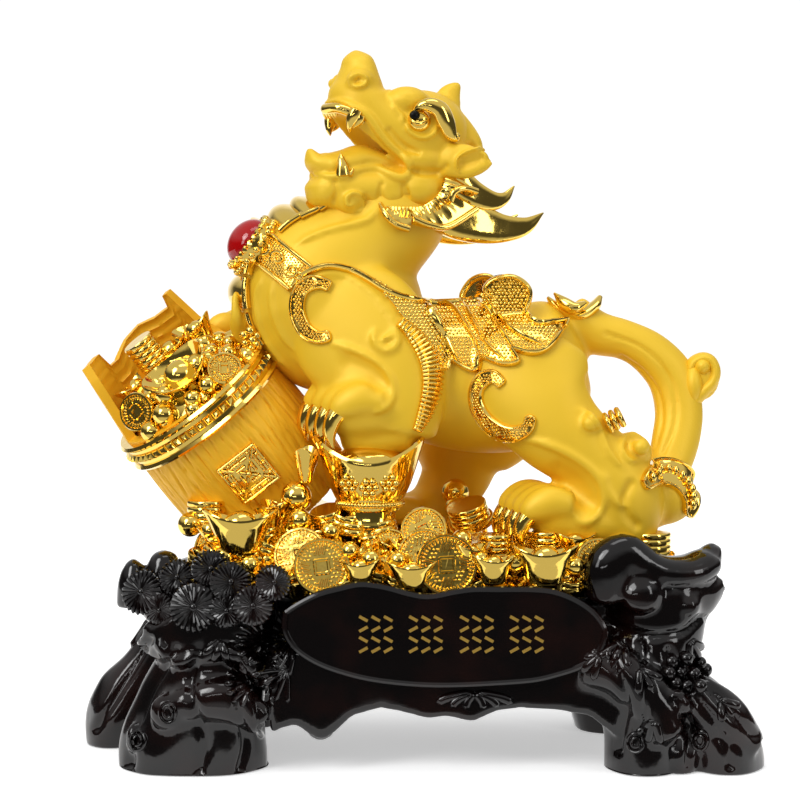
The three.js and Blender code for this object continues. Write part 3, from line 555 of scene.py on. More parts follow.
# Black-brown lacquer over carved resin: deep gloss, with a reddish tint where it lies thin.
def black_lacquer():
    m, t = finish_named("black_root_lacquer")
    at = add(t, "ShaderNodeTexCoord").outputs["Object"]
    cloud = add(t, "ShaderNodeTexNoise", {"Scale": grains(LACQUER_CLOUD), "Detail": 4.0}, {"Vector": at})
    colour = add(t, "ShaderNodeValToRGB", links={"Fac": cloud.outputs["Fac"]})
    colour.color_ramp.elements[0].position = 0.45
    colour.color_ramp.elements[0].color = srgb("#070404")
    colour.color_ramp.elements[1].position = 0.8
    colour.color_ramp.elements[1].color = srgb("#1C0A07")
    rough = add(t, "ShaderNodeMapRange", {"To Min": 0.06, "To Max": 0.14}, {"Value": cloud.outputs["Fac"]})
    bump = add(t, "ShaderNodeBump", {"Strength": 0.3, "Distance": 0.001}, {"Height": cloud.outputs["Fac"]})
    lacquer = add(t, "ShaderNodeBsdfPrincipled", {},
                  {"Base Color": colour.outputs["Color"], "Roughness": rough.outputs["Result"],
                   "Normal": bump.outputs["Normal"]})
    add(t, "ShaderNodeOutputMaterial", links={"Surface": lacquer.outputs["BSDF"]})
    return m


# Polished red glass stone, its gloss slightly uneven.
def red_stone():
    m, t = finish_named("red_glass_cabochon")
    at = add(t, "ShaderNodeTexCoord").outputs["Object"]
    veil = add(t, "ShaderNodeTexNoise", {"Scale": grains(GLASS_VEIL), "Detail": 2.0}, {"Vector": at})
    rough = add(t, "ShaderNodeMapRange", {"To Min": 0.03, "To Max": 0.07}, {"Value": veil.outputs["Fac"]})
    glass = add(t, "ShaderNodeBsdfPrincipled", {"Base Color": srgb("#A80305")},
                {"Roughness": rough.outputs["Result"]})
    add(t, "ShaderNodeOutputMaterial", links={"Surface": glass.outputs["BSDF"]})
    return m


# Enamel paint with metal flakes, uneven from the brush: gold on the panel, black on the pupils.
def enamel(name, colour):
    m, t = finish_named(name)
    at = add(t, "ShaderNodeTexCoord").outputs["Object"]
    brush = add(t, "ShaderNodeTexNoise", {"Scale": grains(BRUSH_MARK), "Detail": 2.0}, {"Vector": at})
    rough = add(t, "ShaderNodeMapRange", {"To Min": 0.3, "To Max": 0.45}, {"Value": brush.outputs["Fac"]})
    paint = add(t, "ShaderNodeBsdfPrincipled", {"Base Color": srgb(colour), "Metallic": 0.7},
                {"Roughness": rough.outputs["Result"]})
    add(t, "ShaderNodeOutputMaterial", links={"Surface": paint.outputs["BSDF"]})
    return m


def dress(o, finish, slot, *nodes):
    o.data.materials.clear()
    o.data.materials.append(finish)
    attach(o, "root")
    if nodes:
        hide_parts(*nodes)
    return o


# The beast's body, as stations (x, y, z, half height, half width).
TRUNK = [
    (82, 8.5, 196.5, 8, 8), (79, 8.5, 195.5, 22, 20), (72.5, 8.5, 193, 31, 30), (63.5, 8.5, 188, 36, 37),
    (46.5, 8.5, 184, 38, 39), (26.5, 8.5, 183, 37.5, 38), (6.5, 8.5, 185.5, 34.5, 38),
    (-12.5, 8.5, 193.5, 31, 39), (-29.5, 8.5, 207.5, 40, 41), (-46, 8.5, 223, 44, 42),
    (-39.5, 8.5, 236, 43, 39), (-30, 8.5, 247, 35, 34), (-21, 8.5, 256, 31, 30),
    (-7.5, 8.5, 267.5, 26, 26), (-1.5, 8.5, 276.5, 18, 20),
]
NEAR_SHOULDER = [
    (-51, -15.5, 230, 10, 6), (-44.5, -19.5, 223, 24, 12), (-31.5, -22.5, 209.5, 33, 15),
    (-17, -25.5, 191.5, 31, 17), (-11.5, -27.5, 174.5, 25, 17), (-13, -29.5, 158, 22, 15),
]
FAR_SHOULDER = [
    (-39, 36.5, 228.5, 10, 6), (-41.5, 38.5, 218.5, 24, 12), (-50.5, 42.5, 209.5, 27, 15),
    (-67.5, 45.5, 205.5, 20, 15), (-84.5, 47.5, 206.5, 13, 13), (-97.5, 44.5, 203.5, 10, 12),
    (-107.5, 40.5, 197.5, 7, 9),
]
NEAR_THIGH = [
    (56.5, -15.5, 209, 10, 6), (54.5, -21.5, 196.5, 27, 13), (55.5, -25.5, 177, 27.5, 16),
    (67, -27.5, 160, 22.5, 17), (85, -27.5, 144, 19, 17), (94, -27.5, 128, 23, 17),
    (96, -27.5, 114.5, 21, 15), (94, -27.5, 105, 15, 12),
]
FAR_THIGH = [
    (60, 34.5, 203, 10, 6), (53, 40.5, 188, 28, 13), (38, 44.5, 164.5, 31, 16), (23.5, 45.5, 144, 24, 16),
    (19.5, 45.5, 129.5, 18, 14), (12, 44.5, 117, 15, 13), (4.5, 42.5, 108, 13, 12),
]
TAIL = [
    (76, 8.5, 212.5, 12, 12), (89, 8.5, 205, 11, 11), (103, 8.5, 201.5, 10, 10),
    (116, 8.5, 194.5, 11, 10), (126.5, 8.5, 182.5, 12, 10), (130, 6.5, 166.5, 12, 10),
    (128, 2.5, 152, 12, 10), (123.5, -3.5, 138.5, 11, 10), (117, -11.5, 127.5, 12, 12),
    (115, -13.5, 118, 11, 12), (115, -13.5, 111, 5, 6),
]
NEAR_FOREARM = [
    (-2.5, -27.5, 169.5, 13, 13), (-15.5, -31.5, 169.5, 15, 15), (-30.5, -33.5, 170.5, 16, 15),
    (-39, -33.5, 173, 11, 12),
]
NEAR_FOOT = [
    (107.5, -25.5, 116, 10, 12), (88, -29.5, 115, 12, 15), (68.5, -33.5, 117, 12, 15),
    (57.5, -35.5, 121.5, 9.5, 12),
]
FAR_FOOT = [(17.5, 42.5, 114, 12, 12), (2, 40.5, 112.5, 12, 13), (-7.5, 38.5, 112.5, 9, 11)]
HAND_BAR = [
    (-88, -12.5, 225.5, 2.2, 2.2), (-88.5, -13.5, 220.5, 2.4, 2.6), (-88, -13.5, 214, 3.2, 3),
    (-87.5, -9.5, 208.5, 4.6, 4), (-84, -3.5, 202.5, 5, 5),
]
PAW_SOLE = [(-34.5, -29.5, 157, 8, 11), (-20, -29.5, 155, 8.5, 12), (-4.5, -29.5, 157, 8.5, 12)]
# Each limb with its sides and rings.
BODY_LIMBS = [
    (TRUNK, 40, 70), (NEAR_SHOULDER, 32, 40), (FAR_SHOULDER, 28, 40), (NEAR_THIGH, 32, 40),
    (FAR_THIGH, 28, 40), (TAIL, 28, 80), (NEAR_FOREARM, 24, 20), (NEAR_FOOT, 24, 20), (FAR_FOOT, 20, 14),
    (HAND_BAR, 14, 20), (PAW_SOLE, 20, 12),
]
# Hock, its knob, the knob of the knee, and the heel: place and radii.
BODY_BALLS = [
    ((104.5, -25.5, 148), (9, 11, 9)), ((106, -36.5, 152), 4.2), ((82, -42.5, 163.5), 4.6),
    ((119, -15.5, 125), (17, 12, 13.5)),
]
# Paws: first toe, last toe, how many, radius, drop and reach.
NEAR_FOREPAW = ([-30, -45.5, 174.5], [-43.5, -19.5, 176.5], 4, 8.5, 21, 11)
NEAR_HINDPAW = ([60, -45.5, 125.5], [51, -19.5, 126.5], 4, 8.5, 21, 11)
FAR_HINDPAW = ([-9.5, 28.5, 114.5], [-14.5, 50.5, 113.5], 3, 7.5, 15, 9)
FAR_FOREPAW = ([-98.5, 28.5, 209], [-101.5, 52.5, 205.5], 4, 6.5, 15, 8)
PAWS = [NEAR_FOREPAW, NEAR_HINDPAW, FAR_HINDPAW, FAR_FOREPAW]


def spread(first, last, count):
    return [np.array(first) + (np.array(last) - first) * i / (count - 1) for i in range(count)]


# Rounded toes in a row, and the hooked claws that grow out of them.
def toes(first, last, count, radius, drop, reach):
    return [limb([
        (x + radius * 1.6, y, z - 1, radius * 0.8, radius * 0.6),
        (x + radius * 0.3, y, z, radius, radius * 0.8),
        (x - reach * 0.55, y, z - drop * 0.2, radius * 0.8, radius * 0.72),
        (x - reach * 0.8, y, z - drop * 0.4, radius * 0.35, radius * 0.4),
    ], sides=14, rings=14) for x, y, z in spread(first, last, count)]


def claws(first, last, count, radius, drop, reach):
    return [limb([
        (x - reach * 0.3, y, z - drop * 0.1, radius * 0.55, radius * 0.5),
        (x - reach * 0.85, y, z - drop * 0.4, radius * 0.52, radius * 0.5),
        (x - reach * 1.05, y, z - drop * 0.75, radius * 0.38, radius * 0.38),
        (x - reach * 0.9, y, z - drop * 1.12, 0.5, 0.5),
    ], sides=14, rings=14) for x, y, z in spread(first, last, count)]


# The spiral on the outer side of the tail, round its knobs, and the two crisp knobs of the knee and the
# hock. A knob is its place, radii and sides.
TAIL_ARM = [
    (130.5, 6.5, 159.5, 3, 6), (134.5, 6.5, 168.5, 4, 6.6), (141, 6.5, 175.5, 3.8, 6.6),
    (146, 6.5, 180.5, 3.3, 6.4), (147.5, 6.5, 186, 3.1, 6.2), (145.5, 6.5, 191, 3, 6),
    (141.5, 6.5, 192.5, 2.9, 5.8), (137, 6.5, 190.5, 2.8, 5.6), (135.5, 6.5, 186.5, 2.6, 5.4),
    (138, 6.5, 182.5, 2.2, 5.2), (142, 6.5, 182, 1.6, 5),
]
KNOBS = [
    ((141, 6.5, 188.5), (4.9, 8, 4.9), 28), ((140.5, 6.5, 182.5), (9.5, 5, 11), 24),
    ((136.5, 6.5, 179), (5.5, 9, 11), 24), ((81.5, -43, 163), 4, 20), ((106.5, -38.5, 151.5), 4, 20),
]


def tail_curl():
    return [limb(TAIL_ARM, sides=20, rings=90)] + [ball(at, radii, sides) for at, radii, sides in KNOBS]


# Folds of the skin: a drawn line, its width and its height.
NEAR_RELIEF = [
    ([(-43, 199.5), (-33.5, 196.5), (-22, 191), (-14.5, 184), (-12, 176), (-15, 168.5),
      (-22, 164.5)], 4.2, 2.0),
    ([(51, 152), (62, 150), (73.5, 145.5), (84, 139), (91.5, 131), (93.5, 122), (90.5, 114),
      (83.5, 109.5), (77.5, 114)], 4.2, 2.0),
    ([(-20.5, 206.5), (-21.5, 202), (-19, 197.5), (-14, 196), (-10, 199), (-10, 203.5),
      (-13, 206.5)], 3.4, 2.2),
    ([(-15.5, 203), (-14.5, 201.5)], 6.5, 2.6),
    ([(111.5, 141), (106, 141), (102.5, 146), (103, 151), (107, 155), (112, 155.5)], 3.0, 2.0),
    ([(93.5, 136), (94.5, 128), (99, 121), (105.5, 117)], 3.6, 1.6),
    ([(79.5, 166), (85.5, 165), (90.5, 159), (93.5, 151), (97.5, 143), (104.5, 136)], 3.4, 1.6),
    ([(-58.5, 225), (-49.5, 233), (-37.5, 234), (-25.5, 227), (-16.5, 218), (-10.5, 208),
      (-8.5, 196)], 3.2, 1.2),
    ([(-19.5, 268.5), (-22.5, 263), (-28.5, 260), (-41, 257), (-52.5, 253), (-61.5, 248)], 3.6, 1.8),
    ([(-77.5, 234), (-80.5, 221), (-77.5, 206), (-71, 195), (-62.5, 185)], 3.6, 1.6),
    ([(-72.5, 230), (-72.5, 218), (-68, 205), (-60.5, 195)], 3.4, 1.4),
]
FAR_RELIEF = [
    ([(-49.5, 228), (-37.5, 226), (-29.5, 217), (-31.5, 206), (-41.5, 199), (-58.5, 198),
      (-74.5, 201)], 4.0, 1.8),
    ([(41.5, 201), (30.5, 189), (21.5, 171), (15.5, 153), (13.5, 138)], 4.0, 1.8),
]
ELBOW_AND_HOCK = [[(-18.5, 178), (-22.5, 185), (-33.5, 190)], [(84.5, 121), (80.5, 129), (71.5, 136)]]
TAIL_GROOVES = [
    [(94.5, 204.5), (111.5, 198), (123.5, 187), (129, 174), (129, 159), (123.5, 145)],
    [(102.5, 193), (113, 185.5), (121, 174), (122.5, 161), (119.5, 149)],
]
HEEL_CREASE = [[(107, 129), (104, 122), (105, 114), (110, 108.5)]]


def body():
    shapes = [limb(stations, sides, rings) for stations, sides, rings in BODY_LIMBS]
    shapes += [ball(at, radii) for at, radii in BODY_BALLS]
    for paw in PAWS:
        shapes += toes(*paw)
    o = clay("sand_gold_body", shapes, voxel=1.3, rounds=8)
    tree = tree_of(o)
    relief = []
    for far, folds in ((False, NEAR_RELIEF), (True, FAR_RELIEF)):
        for line, width, height in folds:
            relief.append(ridge(tree, line, width, height, count=60, ends=0.3, sink=1.5, far=far))
    o = pressed_on(o, relief, voxel=1.25, rounds=2)
    for flip in (None, body_flip):
        press(o, ELBOW_AND_HOCK, width=5.0, amount=-2.0, flip=flip)
        press(o, TAIL_GROOVES, width=1.0, amount=-1.1, flip=flip)
        press(o, HEEL_CREASE, width=2.2, amount=-1.8, flip=flip)
    return o


# The head, in its own frame: +X to the back of the skull, -Y to the seen side, then turned.
UPPER_HEAD = [
    (-38, 0, 56, 3, 3), (-37.5, 0, 53, 7, 8), (-36.5, 0, 48, 8.8, 11), (-36.5, 0, 41, 11.5, 14),
    (-36.5, 0, 34, 15, 17), (-31.5, 0, 26.5, 16, 19), (-21.5, 0, 20, 18, 22), (-9.5, 0, 17, 22, 26),
    (2, 0, 15, 22, 25), (12, 0, 12.5, 16, 18), (17, 0, 11, 6, 7),
]
LOWER_JAW = [
    (6.5, 0, -6, 12, 18), (-6.5, 0, -8, 13, 23), (-19, 0, -9, 12, 20), (-33, 0, -10.5, 11.5, 17),
    (-45.5, 0, -10.5, 11, 15), (-54.5, 0, -10, 10, 13), (-60, 0, -8.5, 6, 9), (-61.5, 0, -7.5, 2, 4),
]
MOUTH = [
    (-58, 0, 24, 3, 9), (-49.5, 0, 20.5, 6.5, 10), (-41, 0, 15.5, 9, 12), (-31, 0, 8, 8.5, 13),
    (-19, 0, 0.5, 5, 12), (-13, 0, -3, 2.5, 9),
]
LIP_TIP = [
    (-48.5, 0, -1, 7, 12), (-54.5, 0, 0.5, 6.6, 11), (-59, 0, 2.5, 5, 8.5), (-61, 0, 6, 2.8, 5),
    (-62, 0, 8.5, 1.2, 2),
]
LOWER_LIP = [
    (-54.5, 0, 0, 6, 12), (-44, 0, 2, 6.6, 13), (-37.5, 0, 4, 6.8, 13), (-31.5, 0, 3.5, 6.6, 13),
    (-24.5, 0, 1.5, 5.6, 13), (-16, 0, -2, 3.2, 11),
]
HORN = [
    (13, 0, 13, 12, 13), (12, 0, 21.5, 7.4, 11), (10.5, 0, 29, 6.6, 8), (11.5, 0, 35, 6.6, 5.5),
    (14, 0, 39, 4.6, 3.6), (17, 0, 42, 1.8, 2),
]
NAPE = [(10.5, 0, 28, 6, 7), (17, 0, 19, 7, 10), (22, 0, 12, 6.4, 11), (24, 0, 5.5, 5, 9)]
HEAD_LIMBS = [(LIP_TIP, 20, 24), (LOWER_LIP, 20, 30), (HORN, 22, 30), (NAPE, 20, 24)]
CHIN = [
    ((-55.5, 0, -12.5), (7.6, 12, 8)), ((-48, 0, -16), (8, 13, 6.5)), ((-35, 0, -18), (13, 13, 6)),
    ((-22.5, 0, -15), (14, 16, 8)),
]
# Nostril, brow, inner brow, cheek, cheekbone, jowl and the curls of the beard, on the seen side.
FACE_BALLS = [
    ((-39.5, -11, 40.5), (7.4, 5, 6.6)), ((-16.5, -14, 31.5), (11.5, 9, 7.5)),
    ((-21, -11, 29), (6, 7, 6)), ((-9, -16, -10), (12, 8, 10)),
    ((-7.5, -18, 4), (13, 7, 6.5)), ((-23, -12, -13), (10, 7, 7)),
    ((-45, -10, -16), (7, 6.5, 7)), ((-42.5, -8, -21), (5, 6, 5)),
]
EAR = [
    (-1.5, -19, 3, 8, 5), (2.5, -24, 3, 8.6, 4.6), (9.5, -28, 2.5, 8.4, 4), (14.5, -31, 3.5, 6.4, 3),
    (17.5, -33, 5.5, 3, 1.6),
]
EAR_TIP = [(9, -26, 0, 6, 2.8), (16, -30, 1, 4.6, 2.4), (20.5, -33, 1.5, 1.2, 1.2)]
# Lip line, lid, nostril, ear rim, beard curl and the fold before the eye: a drawn line, its width
# and its height.
HEAD_RELIEF = [
    ([(-47, 318.5), (-41, 320.5), (-35.5, 320), (-30, 317), (-25, 314), (-21.5, 310), (-18.5, 305.5),
      (-14.5, 300.5), (-9.5, 296), (-5.5, 292.5), (-3, 288.5), (-3.5, 284.5), (-7.5, 282), (-13, 283.5),
      (-18.5, 286), (-24, 287), (-30, 285.5), (-35.5, 283.5), (-40.5, 282.5), (-46, 283),
      (-51, 284.5)], 4.6, 2.9),
    ([(-5.5, 309.5), (-4, 306), (-0.5, 303.5), (4, 302.5), (8, 304.5), (10, 308)], 2.6, 2.2),
    ([(-33, 329), (-33.5, 331.5), (-31, 333.5), (-27.5, 333.5), (-25.5, 331.5), (-26.5, 329), (-30, 328),
      (-32.5, 328.5)], 2.0, 1.9),
    ([(21.5, 285), (20, 289), (21, 292.5), (25, 295), (30.5, 296.5), (35, 295.5)], 2.4, 2.0),
    ([(-30, 264), (-27, 267.5), (-27.5, 272), (-31.5, 274.5), (-35, 272.5), (-34.5, 269),
      (-31.5, 268.5)], 2.4, 2.2),
    ([(-12.5, 319), (-10.5, 316), (-7.5, 313), (-6.5, 309)], 2.6, 1.4),
]
HEAD_FOLDS = [
    [(-13.5, 306), (-9.5, 301), (-4.5, 297), (0.5, 295)],
    [(-25.5, 272.5), (-23, 268), (-17.5, 267.5)],
    [(-17.5, 279), (-18, 273), (-15.5, 268)],
    [(-6.5, 278), (-5.5, 272.5), (-7.5, 268)],
    [(-1.5, 286), (3.5, 284.5), (10.5, 285), (14.5, 288)],
    [(-41, 280), (-40, 275), (-41.5, 271)],
]
NOSTRIL = [[(-30.5, 330.5), (-29, 331.5)]]
EAR_HOLLOW = [[(24, 289.5), (32, 292)]]


def sided(s, *stations):
    return [(x, y * s, z, *size) for x, y, z, *size in stations]


def head_placed(shape):
    return moved(shape, HEAD_AT, Matrix.Rotation(HEAD_TURN, 3, "Z"))


def head_flip(points):
    turn = np.array(Matrix.Rotation(HEAD_TURN, 3, "Z"))
    own = (points - HEAD_AT) @ turn
    return (own * (1, -1, 1)) @ turn.T + HEAD_AT


def side_ball(s, at, radii, sides=16):
    return ball(sided(s, at)[0], radii, sides)


def face_side(s):
    made = [side_ball(s, at, radii) for at, radii in FACE_BALLS]
    return made + [limb(sided(s, *EAR), sides=20, rings=24), limb(sided(s, *EAR_TIP), sides=16, rings=16)]


def opened_skull():
    upper = head_placed(limb(UPPER_HEAD, sides=40, rings=60))
    skull = clay("sand_gold_head", [upper], voxel=0.9, rounds=1)
    hollow = make("mouth_hollow", [head_placed(limb(MOUTH, sides=24, rings=24))], smooth=0)
    modify(skull, "BOOLEAN", operation="DIFFERENCE", object=hollow, solver="EXACT")
    bpy.data.objects.remove(hollow)
    return softened(skull)


def head():
    skull = opened_skull()
    shapes = [limb(LOWER_JAW, sides=36, rings=50), *face_side(1), *face_side(-1)]
    shapes += [limb(stations, sides, rings) for stations, sides, rings in HEAD_LIMBS]
    shapes += [ball(at, radii) for at, radii in CHIN]
    placed = [head_placed(s) for s in shapes] + [skull]
    o = clay("sand_gold_head", placed, voxel=0.85, rounds=4)
    tree = tree_of(o)
    relief = []
    for line, width, height in HEAD_RELIEF:
        relief.append(ridge(tree, line, width, height, count=90, ends=0.4, sink=1.2))
    o = pressed_on(o, relief + [mirrored(r, head_flip) for r in relief], voxel=0.82, rounds=2)
    for flip in (None, head_flip):
        press(o, NOSTRIL, width=1.0, amount=-1.8, flip=flip)
        press(o, EAR_HOLLOW, width=3.6, amount=-3.2, flip=flip)
        press(o, HEAD_FOLDS, width=1.5, amount=-1.4, flip=flip)
    return o


# Mirror-plated lower lid, brow and teeth of one side of the head: stations, sides and rings.
FACE_PLATED = [
    ([(-19.5, -26.5, 22, 0.6, 0.8), (-17.5, -28, 20, 1.0, 1.0), (-14, -28, 20.5, 1.0, 1.0),
      (-10.5, -26.5, 23, 0.6, 0.8)], 10, 20),
    ([(-17, -23, 26.5, 0.8, 1.4), (-14.5, -25.5, 28.5, 2.2, 2.4), (-10, -27.5, 29, 3.6, 3),
      (-5, -28.5, 26.5, 4.4, 3.4), (-2, -28.5, 21, 4.4, 3.2), (0.5, -27.5, 16, 3.6, 2.8),
      (3.5, -26.5, 13, 1.6, 2.2), (5, -26.5, 14, 1.2, 1.8)], 18, 44),
    ([(-43.5, -16, 26.5, 3.4, 3.4), (-45, -15.5, 23, 3.4, 3), (-46, -14.5, 19, 1.9, 1.8),
      (-46, -13.5, 16, 0.3, 0.3)], 16, 20),
    ([(-41.5, -16.5, 24, 2.6, 2.6), (-42.5, -16, 21, 2.2, 2.2), (-45, -15, 18, 0.4, 0.4)], 14, 16),
    ([(-49, -13, -4.5, 4.2, 3.4), (-49.5, -13, -0.5, 3.2, 2.8), (-50, -12.5, 3, 1.9, 1.8),
      (-50, -12, 6, 0.3, 0.3)], 16, 20),
    ([(-46.5, -14, -4.5, 2, 2), (-45, -14, -2.5, 1, 1), (-44.5, -14, -1, 0.3, 0.3)], 10, 10),
]
GUM = [
    (-28, 15, 23.5, 2, 2), (-32.5, 15, 27, 2.6, 2.4), (-42, 12, 29.5, 2.8, 2.6), (-51, 5, 28.5, 2.4, 2.6),
    (-53.5, 0, 28, 2.4, 2.6), (-54.5, -5, 27.5, 2.4, 2.6), (-51, -12, 27.5, 2.8, 2.6),
    (-44, -15, 24.5, 2.6, 2.4), (-39.5, -15, 21, 2, 2),
]
FRONT_TEETH = (-7, -3.5, 0, 3.5, 7)


def head_plated():
    made = []
    for s in (1, -1):
        made += [side_ball(s, (-13.5, -22, 21.5), radii=6.0, sides=28),
                 side_ball(s, (4, -27, 14.5), radii=1.9, sides=14)]
        made += [limb(sided(s, *stations), sides, rings) for stations, sides, rings in FACE_PLATED]
    made.append(limb(GUM, sides=14, rings=70, side=(0, 0, 1)))
    for y in FRONT_TEETH:
        tooth = [(-51.5, y, 28.5, 1.6, 1.8), (-51, y, 25.5, 1.2, 1.4), (-50.5, y, 23.5, 0.3, 0.3)]
        made.append(limb(tooth, sides=10, rings=8))
    return [head_placed(s) for s in made]


def pupils():
    return [head_placed(side_ball(s, (-17.5, -26.5, 24), (2.7, 1.9, 2.4), sides=20)) for s in (1, -1)]


def fluted(stations, flutes, depth, sides=48, rings=50):
    points, faces = limb(stations, sides, rings)
    s = curve(stations, rings)
    for r in range(rings + 1):
        ring = points[r * sides:(r + 1) * sides]
        a = np.linspace(0, 2 * math.pi, sides, endpoint=False)
        share = 1 - depth * (0.5 + 0.5 * np.cos(a * flutes))
        points[r * sides:(r + 1) * sides] = s[r, :3] + (ring - s[r, :3]) * share[:, None]
    return points, faces


# The mane: two long locks, and under the cheek a scalloped collar with a raised rim and a fringe of tufts.
UPPER_LOCK = [
    (2.5, -17, -2.5, 9, 4), (8, -19, -7.5, 9, 4.5), (16.5, -19, -13, 7.8, 4), (26.5, -18, -16, 5.8, 3.2),
    (34, -17, -14.5, 3.4, 2.2), (40, -16, -8.5, 0.4, 0.4),
]
LOWER_LOCK = [
    (-5, -14, -19, 8, 5), (6, -16, -24, 11.5, 5), (20.5, -17, -27.5, 11, 4.6), (33.5, -17, -29.5, 8, 3.6),
    (46, -16, -28, 5, 2.6), (56.5, -15, -21.5, 0.4, 0.4),
]
FRINGE = [
    (-28, -17, -20), (-24, -19, -20.5), (-18.5, -21, -20.5), (-13.5, -22.5, -20.5), (-9, -23.5, -18.5),
    (-5.5, -24, -15.5), (-2.5, -24, -12.5), (-1, -24, -8.5), (1, -23, -4),
]
FRINGE_TIPS = [
    (-28, -20, -23.5), (-25, -22, -24.5), (-20, -24, -25), (-14, -26, -24.5), (-7.5, -27, -22.5),
    (-2.5, -27.5, -19), (0.5, -28, -15), (2, -28, -10.5), (4, -26, -5),
]
# Inner edge, outer edge and flutes of each scallop.
SCALLOPS = [
    ([(-29, -15, -18), (-27.5, -18, -19.5), (-22.5, -20, -20.5), (-16.5, -22, -21)],
     [(-31, -15, -18.5), (-30, -20, -23.5), (-26, -23, -28), (-19.5, -25, -30.5)], 3),
    ([(-19.5, -22, -20.5), (-14, -24, -20.5), (-8, -25, -17), (-2.5, -25, -12)],
     [(-17.5, -26, -25.5), (-10, -28, -28.5), (-0.5, -28.5, -29), (15, -27, -20.5)], 5),
    ([(-4, -25, -14), (-2.5, -26, -10), (-1.5, -26, -7), (0.5, -24, -2.5)],
     [(0.5, -28, -16.5), (2, -29, -12.5), (7.5, -29, -10.5), (14.5, -28, -12)], 4),
]


def mane():
    made = []
    for s in (1, -1):
        made += [fluted(sided(s, *lock), flutes=4, depth=0.14) for lock in (UPPER_LOCK, LOWER_LOCK)]
        for inner, outer, flutes in SCALLOPS:
            near, far = sided(s, *inner), sided(s, *outer)
            made.append(sheet(near, far, thick=4.5, bow=0.8, flutes=flutes, depth=0.3))
            made.append(limb([(*p, 1.7, 1.9) for p in far], sides=12, rings=40))
        for a, b in zip(curve(FRINGE, count=26), curve(FRINGE_TIPS, count=26)):
            made.append(limb(sided(s, (*a, 1.3, 1.5), (*((a + b) / 2), 1.0, 1.2), (*b, 0.4, 0.5)),
                             sides=8, rings=6))
    return [head_placed(s) for s in made]


# Ornament laid on the skin, as drawn lines and outlines.
WING = [
    (-22.5, 232), (-13.5, 226.5), (-2, 221.5), (12.5, 219), (22.5, 220), (30.5, 223), (37.5, 228.5),
    (41.5, 231.5), (47, 232.5), (52.5, 230.5), (56, 226.5), (56, 221), (54, 215), (55.5, 211),
    (60, 208.5), (66.5, 208.5), (73, 209.5), (71.5, 205), (68, 200.5), (64, 196.5), (59, 194.5),
    (53.5, 195), (47.5, 196.5), (49, 193), (51, 190.5), (45.5, 189.5), (39.5, 190), (32.5, 192.5),
    (33, 189.5), (31, 186.5), (26.5, 186.5), (21.5, 188), (15.5, 191.5), (15, 188.5), (12.5, 186.5),
    (8.5, 188), (5.5, 195), (1.5, 202), (-4.5, 209), (-10.5, 217), (-16.5, 224.5),
]
WING_EDGE = [
    (-62, 228), (-58.5, 232.5), (-52.5, 236), (-45, 238), (-37.5, 237), (-31.5, 235), (-24, 231),
    (-17, 226.5), (-10, 223), (-3, 221), (4.5, 219.5), (12.5, 219), (20.5, 220), (27.5, 222.5),
]
WING_BORDER = [
    (36.5, 223), (33.5, 226.5), (36.5, 230.5), (41.5, 232.5), (47.5, 233), (53, 230.5), (56.5, 226),
    (56, 220.5), (54, 215), (56, 210.5), (61, 208), (67, 208.5), (73.5, 210), (71.5, 204.5), (67.5, 199),
    (62, 195), (55.5, 194.5), (47.5, 196.5), (51, 190.5), (44.5, 189), (38.5, 190.5), (32.5, 192.5),
    (31, 186.5), (24.5, 187), (15.5, 191.5), (13, 186.5), (8.5, 188),
]
WING_RIBS = [
    [(3.5, 219), (6, 213), (10.5, 205), (16.5, 196), (23, 188)],
    [(9.5, 218), (17.5, 216), (22.5, 210), (28.5, 201), (32.5, 193)],
    [(23.5, 218.5), (26.5, 212), (31.5, 204), (37.5, 197), (44.5, 191)],
    [(30.5, 220), (35.5, 217), (38.5, 211), (43.5, 204), (48, 197)],
    [(35.5, 221), (39.5, 214), (45.5, 207), (53.5, 202), (61.5, 198.5)],
]
SHOULDER_SCROLL = [
    (-44, 228), (-48, 230), (-53, 229.5), (-57.5, 226.5), (-59.5, 221), (-59.5, 215), (-57.5, 209.5),
    (-54, 205), (-48.5, 202.5), (-43.5, 203.5),
]
RUMP_SCROLL = [
    (42.5, 179), (39.5, 182.5), (35, 182.5), (30.5, 178), (29.5, 172), (31.5, 165.5), (36.5, 159.5),
    (43, 155.5), (50, 154.5), (55.5, 157.5), (57, 163),
]
SADDLE_LOBE = [
    (33.5, 210), (33, 221), (33, 227), (36, 231), (41.5, 233.5), (47.5, 234), (53.5, 231.5),
    (57.5, 226.5), (57, 220), (55, 215), (55.5, 210),
]
FAR_LOBE = [
    (26.5, 215), (23, 220), (23, 224.5), (27, 230.5), (32.5, 233), (37.5, 232), (40.5, 227.5),
    (41.5, 215),
]
STRAP = [(-82.5, 243), (-74.5, 255), (-52.5, 237), (-63, 226.5)]
PLEAT_SPINE = [(-8, 209.5), (-1, 202.5), (4.5, 194), (7, 185), (6.5, 175), (3.5, 165), (0, 157)]
CRESCENT_OUTER = [
    (112.5, 130.5), (114, 134.5), (117.5, 138.5), (122.5, 140.5), (128.5, 140.5), (134, 138),
    (138, 133.5), (140.5, 127.5), (140.5, 121.5), (138, 116.5), (135.5, 114),
]
CRESCENT_INNER = [
    (133.5, 116), (133.5, 120), (132, 124), (128.5, 127.5), (123.5, 129), (118.5, 128.5), (114.5, 127),
]
CRESCENT_BEADS = [(116.5, 132), (121.5, 135), (127.5, 134.5), (133, 131), (136.5, 125.5), (136.5, 119.5)]
# Curls of the strap: place, size and the way they wind.
STRAP_CURLS = [
    (-75, 246.5, 4.2, 1), (-68.5, 241.5, 3.8, -1), (-62, 235.5, 3.6, 1), (-58.5, 232.5, 2.4, -1),
]
TAB_ROD = [(89.5, -35.5, 166, 1.5, 2.4), (90.5, -39.5, 163.5, 1.6, 2.6), (92.5, -37.5, 159.5, 1.5, 2.4)]
